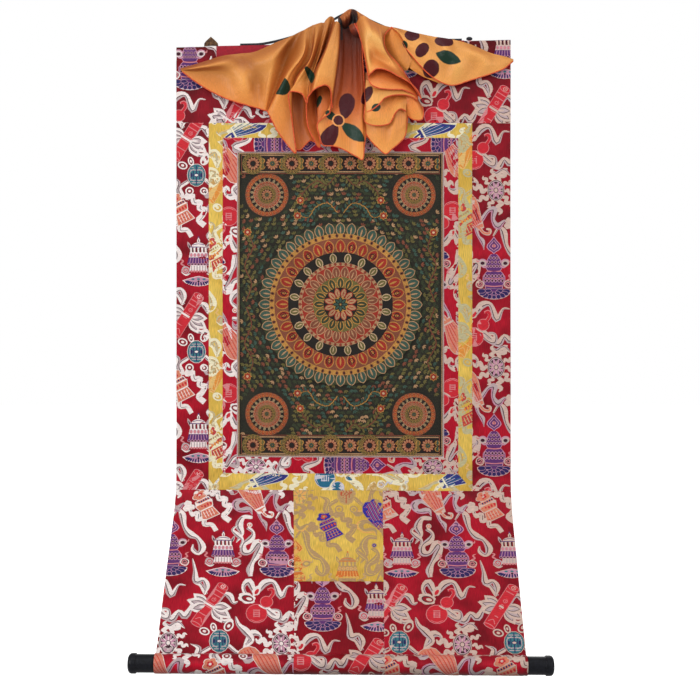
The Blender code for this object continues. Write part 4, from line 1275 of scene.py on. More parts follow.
# %% Basket and fan
def basket():
    """A tilted flower basket with a puffy cloud and two ribbons that go down in steps."""
    d = Drawing()
    steps = np.array([(8, -20), (15, -25), (17, -16), (26, -16), (25, -7), (33, -5), (29, 4),
                      (24, 10), (33, 18)])
    d.add(band(steps, 7.6, 0.5, 1.1), "silver")
    d.add(band(steps[:-1] + (1.4, 0.6), 0.9, 1, 0.5), "dark")
    for x, y, size in ((8, -24, 6.0), (15, -25, 4.6), (26, -15, 5.0), (33, -6, 4.6)):
        d.add(oval(x, y, size, size * 0.85, 0, 5, 0.2), "silver")
    low = np.array([(-25, -1), (-21, 8), (-13, 6), (-13, 16), (-4, 14), (-3, 24), (7, 24), (14, 34)])
    d.add(band(low, 6.8, 0.6, 1.0), "silver")
    d.add(band(low[:-1] + (1.2, 0.8), 0.9, 1, 0.5), "dark")
    for x, y, size in ((-27, -8, 5.8), (-29, -1, 5.6), (-20, 8, 4.4), (-22, -3, 5.2)):
        d.add(oval(x, y, size, size * 0.9, 0, 5, 0.16), "silver")
    body = Drawing(-27)
    body.edged(oval, "coral", "silver", 0, -23, 11.5, 8.4, 0, 5, 0.25, margin=1.0)
    body.add(oval(0, -23, 5.2, 4.0, 0, 5, 0.3), "scarlet")
    body.add(oval(0, -23, 2.0, 1.6), "silver")
    body.add(trapeze(-17, 10.8, -11, 12.6), "silver")
    body.add(trapeze(-16, 10, -12, 11.6), "coral")
    for x in np.linspace(-9, 9, 6):
        body.add(oval(x, -14, 1.2, 1.5), "navy")
    body.add(trapeze(-11, 14, -1, 10.6), "silver")
    body.add(trapeze(-10, 13, -2, 9.8), "coral")
    for x in np.linspace(-9, 9, 5):
        body.add(oval(x, -6, 1.5, 2.4), "scarlet")
    body.add(trapeze(-1, 9.6, 15, 14), "silver")
    body.add(trapeze(-0.2, 8.8, 14, 12.9), "coral")
    for y in (2.2, 6.8, 11.2):
        body.add(bar(0, y, 7 + y * 0.3, 0.5), "scarlet")
    for x in (-6.5, -2.2, 2.2, 6.5):
        body.add(bar(x, 6.8, 0.5, 5.2), "silver")
    d.absorb(body)
    return d


def ribbed_fan():
    """A slanting coral fan with ribs and a hooked handle, and pale ribbons on both sides."""
    d = Drawing()
    d.sash([(-6, 2), (-22, -16), (-34, -14), (-40, -26)], 5.4, 0.6, 0.1, "grey")
    d.sash([(-4, 6), (-20, -2), (-30, 4), (-24, 13), (-10, 12), (-6, 20)], 6.0, 0.6, 0.2, "grey")
    d.sash([(10, 4), (20, -10), (29, -12), (27, 2), (34, 12), (44, 4), (50, 10)], 5.4, 0.6, 0.15, "grey")
    d.sash([(2, 14), (6, 26), (12, 34), (14, 46)], 4.0, 0.6, 0.1, "grey")
    body = Drawing(-28)
    outline = [(-15, -26), (-12, -33), (-6, -37), (1, -38), (8, -36), (13, -31), (15, -24),
               (14, -14), (9, 4), (6, 17), (-6, 17), (-9, 4), (-14, -14)]
    body.add(fan(np.array(outline) * 1.05 + (0, 1)), "silver")
    body.add(fan(outline), "coral")
    for share in (-0.8, -0.45, -0.1, 0.25, 0.6):
        body.add(band([(share * 12, -34), (share * 13, -10), (share * 7, 13)], 0.9), "scarlet")
        body.add(band([(share * 12 + 2.4, -34), (share * 13 + 2, -10), (share * 7 + 1.2, 13)], 0.7), "pink")
    body.add(trapeze(10, 8.4, 12.4, 8), "silver")
    body.add(band([(0, 16), (2, 25), (8, 30), (12, 26), (8, 22)], 4.4, 1, 0.6), "silver")
    body.add(band([(0, 16), (2, 25), (8, 29.6), (11.6, 26)], 2.6, 1, 0.6), "coral")
    d.absorb(body)
    return d


def loose_ribbons():
    """Ribbons that fill the ground between the emblems, and a small ringed dot."""
    d = Drawing()
    d.sash([(43, -58), (30, -58), (24, -45), (28, -32), (20, -18)], 6.4, 0.4, 0.1)
    d.sash([(36, -42), (44, -34), (41, -24), (31, -15), (31, -4), (40, -4), (49, -18), (55, -14),
            (50, 0), (43, 12), (39, 24), (40, 34)], 6.2, 0.5, 0.9)
    d.sash([(-72, -56), (-64, -68), (-57, -62), (-53, -42), (-44, -30), (-34, -24), (-27, -10), (-32, 0),
            (-40, -6), (-40, -14)], 6.0, 0.2, 0.3)
    d.sash([(-40, 8), (-36, 26), (-34, 42), (-24, 40), (-19, 50), (-22, 62)], 5.6, 0.1, 0.4)
    d.sash([(22, -46), (15, -38), (22, -30), (29, -22), (25, -10)], 4.2, 0.1, 0.2)
    d.sash([(20, 94), (24, 106), (34, 116), (42, 128), (34, 136)], 6.0, 0.1, 0.5)
    d.sash([(-47, 112), (-57, 104), (-67, 110), (-73, 104)], 4.4, 0.1, 0.1)
    d.edged(oval, "coral", "silver", 39, -46, 3.8, 3.8, margin=1.2)
    d.add(oval(39, -46, 1.2, 1.2), "silver")
    return d


EMBLEMS = (
    {"draw": loose_ribbons, "u": 0, "v": 0}, {"draw": basket, "u": -22, "v": -70},
    {"draw": ribbed_fan, "u": 48.6, "v": -82}, {"draw": canopy, "u": 2, "v": 0},
    {"draw": vase, "u": 77, "v": -2}, {"draw": scroll, "u": -14, "v": 76},
    {"draw": gourd, "u": 52, "v": 80}, {"draw": medallion, "u": -1, "v": 130},
    {"draw": wheel, "u": 80, "v": 133},
)
REPEAT_ACROSS = 0.148
REPEAT_DOWN = 0.255
drawn = [(*row["draw"]().arrays(), np.array([row["u"], row["v"]]) * MM) for row in EMBLEMS]
print("triangles in one repeat:", sum(len(emblem[0]) for emblem in drawn))


# %% [markdown]
# ## Weaving the ornament into each piece
#
# The weaver makes one long cloth, and the maker cuts pieces from it, so each piece shows
# the pattern from another place. The same is done here: the repeat is laid over a piece
# from its own starting point, cut along the piece's seams, cut again wherever the cloth
# bends, and then carried onto the hanging cloth. A triangle with one corner inside a
# cutting line leaves a smaller triangle, and one with two corners inside leaves two.

# %% Laying out and cutting
EMBLEM_REACH = 0.100
SMALLEST_AREA = 2e-10
REPEATS_EACH_WAY = 8
TAG_BASE = 100
ROUNDING = 1e7
FABRICS = {
    "red": {},
    "yellow": shades(
        silver=(250, 240, 206), dark=(206, 160, 92), purple=(196, 168, 104),
        lilac=(214, 182, 128), navy=(186, 156, 96), coral=(204, 66, 62),
        scarlet=(236, 150, 62), teal=(190, 170, 110), pink=(240, 196, 120),
        grey=(204, 190, 150), ground=(232, 190, 80),
    ),
    "wide yellow": shades(
        silver=(250, 240, 206), dark=(210, 166, 96), purple=(214, 170, 96),
        lilac=(228, 196, 140), navy=(204, 160, 90), coral=(46, 48, 128),
        scarlet=(34, 108, 140), teal=(206, 60, 56), pink=(214, 210, 220),
        grey=(208, 196, 158), ground=(232, 190, 80),
    ),
    "patch": shades(
        silver=(190, 152, 106), dark=(224, 188, 92), purple=(222, 118, 48),
        lilac=(238, 176, 96), navy=(196, 84, 52), coral=(46, 40, 156),
        scarlet=(206, 80, 50), teal=(196, 158, 108), pink=(206, 168, 118),
        grey=(184, 150, 106), ground=(220, 176, 60),
    ),
}
# Silver thread in painted shade for each fabric, and the x where its painted shade begins and where it is
# full.
SILVER_IN_PAINTED_SHADE = {"red": linear(220, 190, 176), "yellow": linear(200, 190, 146)}
SILVER_LIT_UNTIL_X = -0.10
SILVER_SHADED_FROM_X = -0.02


def cut(triangles, tags, line):
    """Keep what lies where a u + b v <= c, with each triangle's tag."""
    side = triangles @ np.array(line[:2]) - line[2]
    inside = side <= 0
    count = inside.sum(axis=1)
    kept, kept_tags = [triangles[count == 3]], [tags[count == 3]]
    for wanted in (1, 2):
        pick = count == wanted
        odd = np.argmax(inside[pick] if wanted == 1 else ~inside[pick], axis=1)
        order = (odd[:, None] + np.arange(3)) % 3
        part = np.take_along_axis(triangles[pick], order[..., None], axis=1)
        height = np.take_along_axis(side[pick], order, axis=1)
        one = height[:, 0] / (height[:, 0] - height[:, 1])
        two = height[:, 0] / (height[:, 0] - height[:, 2])
        first = part[:, 0] + (part[:, 1] - part[:, 0]) * one[:, None]
        second = part[:, 0] + (part[:, 2] - part[:, 0]) * two[:, None]
        if wanted == 1:
            kept.append(np.stack([part[:, 0], first, second], axis=1))
        else:
            kept.append(np.stack([first, part[:, 1], part[:, 2]], axis=1))
            kept.append(np.stack([first, part[:, 2], second], axis=1))
            kept_tags.append(tags[pick])
        kept_tags.append(tags[pick])
    triangles, tags = np.concatenate(kept), np.concatenate(kept_tags)
    large = np.abs(doubled_area(triangles)) > 2 * SMALLEST_AREA
    return triangles[large], tags[large]


def doubled_area(triangles):
    """Twice the signed area of each triangle."""
    one = triangles[:, 1] - triangles[:, 0]
    two = triangles[:, 2] - triangles[:, 0]
    return one[:, 0] * two[:, 1] - one[:, 1] * two[:, 0]


def split(triangles, tags, line):
    """Cut along a line and keep both sides."""
    a, b, c = line
    near, near_tags = cut(triangles, tags, (a, b, c))
    far, far_tags = cut(triangles, tags, (-a, -b, -c))
    return np.concatenate([near, far]), np.concatenate([near_tags, far_tags])


def line_through(start, end):
    """The line through two flat points, as a, b and c; its inner side is on the right."""
    du, dv = end[0] - start[0], end[1] - start[1]
    size = math.hypot(du, dv)
    return dv / size, -du / size, (dv * start[0] - du * start[1]) / size


def lay_repeat(corners, phase, turn=0.0, grain=((1, 0), (0, 1))):
    """The ornament within four corners, from one canopy's middle, turned or off the straight grain."""
    corners = np.array(corners)
    low, high = corners.min(axis=0) - EMBLEM_REACH, corners.max(axis=0) + EMBLEM_REACH
    spin = np.array(grain) @ turning(turn)
    each_way = np.arange(-REPEATS_EACH_WAY, REPEATS_EACH_WAY + 1)
    steps = np.stack(np.meshgrid(each_way, each_way), axis=-1).reshape(-1, 2)
    laid, laid_tags = [], []
    for triangles, colours, levels, offset in drawn:
        places = (steps * (REPEAT_ACROSS, REPEAT_DOWN) + offset) @ spin + phase
        places = places[np.all((places > low) & (places < high), axis=1)]
        many = (triangles @ spin)[None] + places[:, None, None, :]
        laid.append(many.reshape(-1, 3, 2))
        laid_tags.append(np.tile(colours + TAG_BASE * levels, len(places)))
    triangles, tags = np.concatenate(laid), np.concatenate(laid_tags)
    for start, end in zip(corners, np.roll(corners, -1, axis=0)):
        triangles, tags = cut(triangles, tags, line_through(start, end))
    return triangles, tags


def woven_mesh(name, triangles, tags, colour_of, placing, material):
    """
    A mesh of flat shapes on the hanging cloth, lifted by relief and level, turned outwards.
    A tag is a level times TAG_BASE plus a thread's number; corners are joined where they
    agree to a tenth of a micrometre.
    """
    turned_in = doubled_area(triangles) > 0
    triangles[turned_in] = triangles[turned_in][:, ::-1]
    rounded = np.round(triangles.reshape(-1, 2) * ROUNDING)
    rows = np.concatenate([rounded, np.repeat(tags, 3)[:, None]], axis=1)
    corners, numbers = np.unique(rows.astype(np.int64), axis=0, return_inverse=True)
    faces = numbers.reshape(-1, 3)
    distinct = (faces[:, 0] != faces[:, 1]) & (faces[:, 1] != faces[:, 2]) & (faces[:, 0] != faces[:, 2])
    flat = corners[:, :2] / ROUNDING
    lift = HALF_CLOTH + RELIEF + LAYER * (corners[:, 2] // TAG_BASE)
    points = placing(flat[:, 0], flat[:, 1], lift)
    made = add_piece(name, points, faces[distinct], [material])
    set_colours(made, colour_of(corners[:, 2] % TAG_BASE, points[:, 0]))
    store_flat(made, flat)
    return made


def thread_colours(fabric):
    """A function from thread numbers and places to colours; silver thread gets painted shade to the right.
    """
    table = np.array([FABRICS[fabric].get(name, THREADS[name]) for name in THREAD_NAMES])

    def colour_of(number, x):
        colours = table[number]
        if fabric in SILVER_IN_PAINTED_SHADE:
            # painted shade: the silver loses its sheen towards the right
            dull = np.clip((x - SILVER_LIT_UNTIL_X) / (SILVER_SHADED_FROM_X - SILVER_LIT_UNTIL_X), 0, 1)[:, None]
            silver = (number == THREAD_NAMES.index("silver"))[:, None]
            colours = np.where(silver, colours * (1 - dull) + np.array(SILVER_IN_PAINTED_SHADE[fabric]) * dull, colours)
        return colours

    return colour_of


# %% Each piece and where its pattern starts
YELLOW_GRAIN = ((1, 0), (0, 1.07))
LOWER_GRAIN = {"lower_left": ((1, 0), (0.069, 1)), "lower_centre": ((1, 0), (0.03, 1)),
               "lower_right": ((1.02, 0), (-0.025, 1))}
BEND_STEP = 0.006
OVER_POCKET = 1.5
bend_lines = [(0.0, 1.0, v) for v in np.arange(CURL_START, CURL_START + CURL_LENGTH + BEND_STEP, BEND_STEP)]
sleeve_lines = [(0.0, 1.0, float(v)) for v in np.linspace(SLEEVE_CREASE, SLEEVE_END, SLEEVE_ROWS + 1)[1:-1]]


def above_and_round(left, right, top):
    """A lower panel as two four-sided parts: down to the crease, and round the roller."""
    start = ((float(seam_u(left, top)), top), (float(seam_u(right, top)), top))
    crease = ((left[1], SLEEVE_CREASE), (right[1], SLEEVE_CREASE))
    end = ((left[1], SLEEVE_END), (right[1], SLEEVE_END))
    return (start[0], start[1], crease[1], crease[0]), (crease[0], crease[1], end[1], end[0])


pocket_start = [(u, float(pocket_line(u))) for u in (-HALF_WIDTH, 0.0, HALF_WIDTH)]
pocket_top = [(u, v - OVER_POCKET * POCKET_REACH) for u, v in pocket_start]
arc_lines = [line_through((-1.0, float(pocket_line(-1.0)) - s), (1.0, float(pocket_line(1.0)) - s))
             for s in np.arange(0, OVER_POCKET, 0.25) * POCKET_REACH]
top_parts = ((pocket_top[0], pocket_top[1], (0.0, FRAME_TOP), (-HALF_WIDTH, FRAME_TOP)),
             (pocket_top[1], pocket_top[2], (HALF_WIDTH, FRAME_TOP), (0.0, FRAME_TOP)))
lower_parts = {
    "lower_left": (above_and_round(EDGES[0], LEFT_SEAM, LOWER_SEAM), (-0.1677, 0.790), (-0.147, 0.800)),
    "lower_centre": (above_and_round(LEFT_SEAM, RIGHT_SEAM, PATCH_BOTTOM), (0.0454, 0.870), (0.0454, 0.870)),
    "lower_right": (above_and_round(RIGHT_SEAM, EDGES[1], LOWER_SEAM), (0.0804, 0.790), (0.0935, 0.794)),
}
WOVEN = [
    {"piece": "outer_top", "parts": top_parts, "phases": ((-0.1505, 0.079), (0.2305, 0.0625)),
     "bends": arc_lines, "placing": top_points},
    {"piece": "outer_left", "parts": (side_left,), "phases": ((-0.211, 0.362),)},
    {"piece": "outer_right", "parts": (side_right,), "phases": ((0.140, 0.380),)},
    {"piece": "patch", "parts": (patch_corners,), "phases": ((0.005, 0.821),), "fabric": "patch"},
]
RED_LAYOUT = (("left", (-0.1175, 0.131), 180), ("right", (0.2052, 0.1225), 180),
              ("top", (-0.094, 0.1148), 90), ("bottom", (0.0069, 0.5777), 90))
YELLOW_LAYOUT = (("left", "yellow", (-0.1606, 0.4326), 0), ("right", "yellow", (0.200, 0.382), 0),
                 ("top", "wide yellow", (-0.2355, 0.1214), 90),
                 ("bottom", "wide yellow", (0.069, 0.6257), 90))
for side, phase, turn in RED_LAYOUT:
    WOVEN.append({"piece": f"red_border_{side}", "parts": (red_strips[side],), "phases": (phase,),
                  "turn": turn})
for side, fabric, phase, turn in YELLOW_LAYOUT:
    WOVEN.append({"piece": f"yellow_border_{side}", "parts": (yellow_strips[side],), "phases": (phase,),
                  "fabric": fabric, "turn": turn, "grain": YELLOW_GRAIN})
for name, (parts, *phases) in lower_parts.items():
    WOVEN.append({"piece": name, "parts": parts, "phases": phases, "bends": sleeve_lines,
                  "grain": LOWER_GRAIN[name]})


def weave_piece(piece, parts, phases, bends=(), placing=cloth_points, fabric="red", turn=0.0,
                grain=((1, 0), (0, 1))):
    """Lay, cut and carry the ornament of one cloth piece."""
    laid = [lay_repeat(corners, phase, turn, grain) for corners, phase in zip(parts, phases)]
    triangles = np.concatenate([part[0] for part in laid])
    tags = np.concatenate([part[1] for part in laid])
    lowest, highest = triangles[..., 1].min(), triangles[..., 1].max()
    for line in [*bends, *bend_lines]:
        if line[0] != 0 or lowest < line[2] < highest:
            triangles, tags = split(triangles, tags, line)
    made = woven_mesh(f"ornament_{piece}", triangles, tags, thread_colours(fabric), placing, threads)
    finish_piece(made, "red_brocade" if fabric == "red" else "yellow_brocade")
    return made


ornament_triangles = 0
for row in WOVEN:
    ornament_triangles += len(weave_piece(**row).data.polygons)
print("triangles of woven ornament:", ornament_triangles)


# %% [markdown]
# ## The picture
#
# The canvas carries a plain ornamental design of its own: a large round lotus rosette on a
# dark field of small leaves, with a smaller rosette in each corner and a band of blossoms
# above and below. Its colours are earthy red, green, teal, ochre and beige on near black,
# and its details are as small as old painting's. Rings of petals are one petal turned
# round the middle, so a ring is a single multiplication of arrays. The design has several
# hundred shapes, so its upper ones stand one to three millimetres off the canvas. Real
# paint would not; a smaller step from shape to shape would bring them closer.

# %% Copies of a shape
DISC_SIDES = 72
LARGE_LEAF_STEPS = 8
SMALL_LEAF_STEPS = 5
TINY_LEAF_STEPS = 4
VEINED_FROM = 8


def placed(shape, places, angles, sizes):
    """Copies of a shape, each scaled, turned and moved: one matrix and one place per copy."""
    angles = np.radians(np.asarray(angles, dtype=float))
    sizes = np.broadcast_to(np.asarray(sizes, dtype=float), angles.shape)
    first = np.stack([np.cos(angles), np.sin(angles)], axis=-1)
    second = np.stack([-np.sin(angles), np.cos(angles)], axis=-1)
    spins = np.stack([first, second], axis=-2) * sizes[:, None, None]
    copies = np.einsum("mki,nij->nmkj", shape, spins) + np.asarray(places)[:, None, None, :]
    return copies.reshape(-1, 3, 2)


def around(shape, count, start=0.0):
    """Copies of a shape turned evenly round the middle."""
    return placed(shape, np.zeros((count, 2)), start + 360 / count * np.arange(count), 1.0)


def disc(radius):
    """A round disc about the middle."""
    angle = np.linspace(0, 2 * math.pi, DISC_SIDES, endpoint=False)
    return fan(np.stack([radius * np.cos(angle), radius * np.sin(angle)], axis=-1))


# %% A lotus rosette, ring by ring, from the outside in
ROSETTE_RINGS = (
    {"disc": 100, "colour": "paint_deep", "count": 44, "foot": 86, "length": 15, "width": 10.5,
     "fill": "paint_teal", "edge": "paint_beige"},
    {"disc": 88, "colour": "paint_ochre", "count": 60, "foot": 83.6, "length": 3.4, "width": 2.6,
     "fill": "paint_dark", "edge": "paint_brown"},
    {"disc": 82, "colour": "paint_brown", "count": 32, "foot": 64, "length": 16, "width": 11,
     "fill": "paint_red", "edge": "paint_ochre"},
    {"disc": 65, "colour": "paint_dark", "count": 20, "foot": 52, "length": 11, "width": 7.4,
     "fill": "paint_green", "edge": "paint_pale"},
    {"disc": 52, "colour": "paint_beige", "count": 48, "foot": 49, "length": 2.4, "width": 2.2,
     "fill": "paint_red", "edge": "paint_brown"},
    {"disc": 48, "colour": "paint_red", "count": 24, "foot": 33, "length": 13.6, "width": 8.4,
     "fill": "paint_brown", "edge": "paint_beige"},
    {"disc": 34, "colour": "paint_green", "count": 16, "foot": 20, "length": 13, "width": 8.0,
     "fill": "paint_deep", "edge": "paint_ochre"},
    {"disc": 21, "colour": "paint_dark", "count": 12, "foot": 9, "length": 11, "width": 6.2,
     "fill": "paint_beige", "edge": "paint_red"},
    {"disc": 9.5, "colour": "paint_ochre", "count": 8, "foot": 2.0, "length": 6.6, "width": 3.6,
     "fill": "paint_teal", "edge": "paint_dark"},
)


def rosette(d, x, y, size, rings, start=0.0):
    """Rings of petals on discs, scaled and moved to their place."""
    place = np.array([x, y])
    steps = LARGE_LEAF_STEPS if size > 1 else SMALL_LEAF_STEPS
    for number, ring in enumerate(rings):
        turn = start + 180 / ring["count"] * (number % 2)
        foot, length, width = ring["foot"], ring["length"], ring["width"]
        d.add(disc(ring["disc"]) * size + place, ring["colour"])
        petals = [(leaf(foot - 1, 0, length + 2, width + 1.4, 0, 0.6, steps), "edge"),
                  (leaf(foot, 0, length, width - 0.6, 0, 0.65, steps), "fill")]
        if length > VEINED_FROM:
            petals.append((leaf(foot + 1, 0, length * 0.7, width * 0.2, steps=TINY_LEAF_STEPS), "edge"))
        for petal, colour in petals:
            d.add(around(petal, ring["count"], turn) * size + place, ring[colour])


# %% The field of leaves, the vines and the bands of blossoms
FRAME_LINE_IN = 1.6
HALF_PICTURE = (PICTURE_WIDTH * 500, (PICTURE_BOTTOM - PICTURE_TOP) * 500)
ROSETTE_SIZE = 1.16
CORNER_SIZE = 0.38
CORNER_PLACE = (106, 158)
CANVAS_BEND_STEP = 0.012
SPRAY_ACROSS = 7.4
SPRAY_DOWN = 6.2
SPRAY_SHIFT = 1.4
SPRAY_TURN = 30
LEAF_COLOURS = ("paint_deep", "paint_green", "paint_teal", "paint_brown", "paint_beige")
dice = np.random.default_rng(11)


def leaf_field(d):
    """Small sprays of three leaves in staggered rows, in five colours, kept off the rosettes."""
    across, down = np.meshgrid(np.arange(-140, 141, SPRAY_ACROSS), np.arange(-188, 189, SPRAY_DOWN))
    across = across + np.where(np.arange(len(across)) % 2, SPRAY_ACROSS / 2, 0)[:, None]
    places = np.stack([across, down], axis=-1).reshape(-1, 2)
    corners = np.linalg.norm(np.abs(places) - CORNER_PLACE, axis=1) > 101 * CORNER_SIZE
    places = places[corners & (np.linalg.norm(places, axis=1) > 100 * ROSETTE_SIZE)]
    places = places + dice.uniform(-SPRAY_SHIFT, SPRAY_SHIFT, places.shape)
    spray = np.concatenate([leaf(0, 0, 5.4, 2.3, turn, steps=TINY_LEAF_STEPS) for turn in (-40, 0, 40)])
    kinds = dice.choice(len(LEAF_COLOURS), len(places), p=(0.34, 0.26, 0.16, 0.14, 0.10))
    outwards = np.degrees(np.arctan2(places[:, 1], places[:, 0]))
    outwards = outwards + dice.uniform(-SPRAY_TURN, SPRAY_TURN, len(places))
    for kind, colour in enumerate(LEAF_COLOURS):
        chosen = kinds == kind
        d.add(placed(spray, places[chosen], outwards[chosen], 1.0), colour)


def vine(d, points, stem, leaves):
    """A waving stem with a leaf on alternate sides at each step and a blossom at its end."""
    line = smooth_line(points, 6)
    d.add(band(points, 1.5, 1, 0.6), stem)
    along = np.gradient(line, axis=0)
    heading = np.degrees(np.arctan2(along[:, 1], along[:, 0]))
    side = np.where(np.arange(len(line)) % 2, 52, -52)
    d.add(placed(leaf(0, 0, 9, 4.2), line, heading + side, 1.0), "paint_dark")
    d.add(placed(leaf(0.4, 0, 8, 3.2), line, heading + side, 1.0), leaves)
    for radius, count, colour in ((6.4, 8, "paint_ochre"), (5.2, 8, "paint_red")):
        d.add(around(leaf(0, 0, radius, radius * 0.55), count) + line[-1], colour)
    d.add(oval(*line[-1], 1.8, 1.8), "paint_pale")


def blossom_band(d, y):
    """A row of small rosettes between two fine lines, with scrolls between them."""
    d.add(bar(0, y, 143, 15), "paint_brown")
    d.add(bar(0, y, 142, 14), "paint_dark")
    for edge in (-12, 12):
        d.add(bar(0, y + edge, 141.5, 0.8), "paint_beige")
    for number, x in enumerate(np.linspace(-126, 126, 10)):
        rosette(d, x, y, 0.46, ROSETTE_RINGS[7:] if number % 2 else ROSETTE_RINGS[6:8], number * 11)
        for hand in (-1, 1):
            d.add(spiral(x + 13.4, y + hand * 4.4, 4.2, 1.3, hand), "paint_ochre")
            d.add(leaf(x + 13.8, y, 8, 3.2, hand * 90), "paint_teal" if number % 2 else "paint_green")


VINES = (
    (((8, 184), (20, 172), (34, 178), (50, 166), (58, 150)), "paint_brown", "paint_green"),
    (((4, 132), (18, 146), (36, 140), (46, 126), (62, 128)), "paint_ochre", "paint_teal"),
    (((136, 4), (128, 30), (138, 56), (126, 82), (134, 104)), "paint_brown", "paint_green"),
)


def picture_design():
    """The whole design, laid from the ground up."""
    d = Drawing()
    leaf_field(d)
    for hand in (-1, 1):
        for down in (-1, 1):
            for points, stem, leaves in VINES:
                vine(d, np.array(points) * (hand, down), stem, leaves)
            rosette(d, hand * CORNER_PLACE[0], down * CORNER_PLACE[1], CORNER_SIZE, ROSETTE_RINGS[2:])
    for y in (-203, 203):
        blossom_band(d, y)
    rosette(d, 0, 0, ROSETTE_SIZE, ROSETTE_RINGS)
    d.add(around(spiral(72, 0, 4.6, 1.2), 16, 11) * ROSETTE_SIZE, "paint_dark")
    right, lower = HALF_PICTURE[0] - FRAME_LINE_IN, HALF_PICTURE[1] - FRAME_LINE_IN
    for line in ((0, -lower, 146, 0.7), (0, lower, 146, 0.7), (-right, 0, 0.7, 217), (right, 0, 0.7, 217)):
        d.add(bar(*line), "paint_beige")
    return d


def paint_picture():
    """Lay the design on the canvas, cut it finely so that it bends, and carry it onto the cloth."""
    triangles, colours, levels = picture_design().arrays()
    middle = (PICTURE_MIDDLE_U, (PICTURE_TOP + PICTURE_BOTTOM) / 2)
    tags = colours + TAG_BASE * levels
    triangles = triangles + middle
    for start, end in zip(CANVAS, np.roll(np.array(CANVAS), -1, axis=0)):
        triangles, tags = cut(triangles, tags, line_through(start, end))
    spans = triangles.reshape(-1, 2)
    for axis, direction in enumerate(((1.0, 0.0), (0.0, 1.0))):
        for line in np.arange(spans[:, axis].min(), spans[:, axis].max(), CANVAS_BEND_STEP):
            triangles, tags = split(triangles, tags, (*direction, float(line)))
    made = woven_mesh("picture_design", triangles, tags, thread_colours("picture"), cloth_points,
                      picture_paint)
    return finish_piece(made, "picture_canvas")


FABRICS["picture"] = {}
print("triangles in the picture:", len(paint_picture().data.polygons))


# %% [markdown]
# ## The silk cover
#
# One rectangle of silk is gathered over the strap's peak and falls to both sides in deep
# folds. A simulation would fall its own way, and the folds in the photograph are what
# makes it look like itself. So each layer that shows is a smooth surface through a few
# listed creases: a crease runs from the gather to the hem through four or five
# points, and a curve through all the creases makes the sheet. A point is where it is seen
# in the photograph, across and down in its pixels, and its distance in front of the cloth
# in millimetres, which one function turns into a real place.

# %% From a seen point to a real one
PIXEL = 1.442
VIEW_CENTRE = 350.0


def seen(places):
    """Real points from (pixels across, pixels down, mm in front): nearer points are spread less."""
    places = np.asarray(places, dtype=float)
    front = places[..., 2] * MM
    scale = PIXEL * MM * (1 - front / CAMERA_DISTANCE)
    x = (places[..., 0] - VIEW_CENTRE) * scale + CAMERA_X
    z = (VIEW_CENTRE - places[..., 1]) * scale + CAMERA_Z
    return np.stack([x, -POCKET_REACH - front, z], axis=-1)
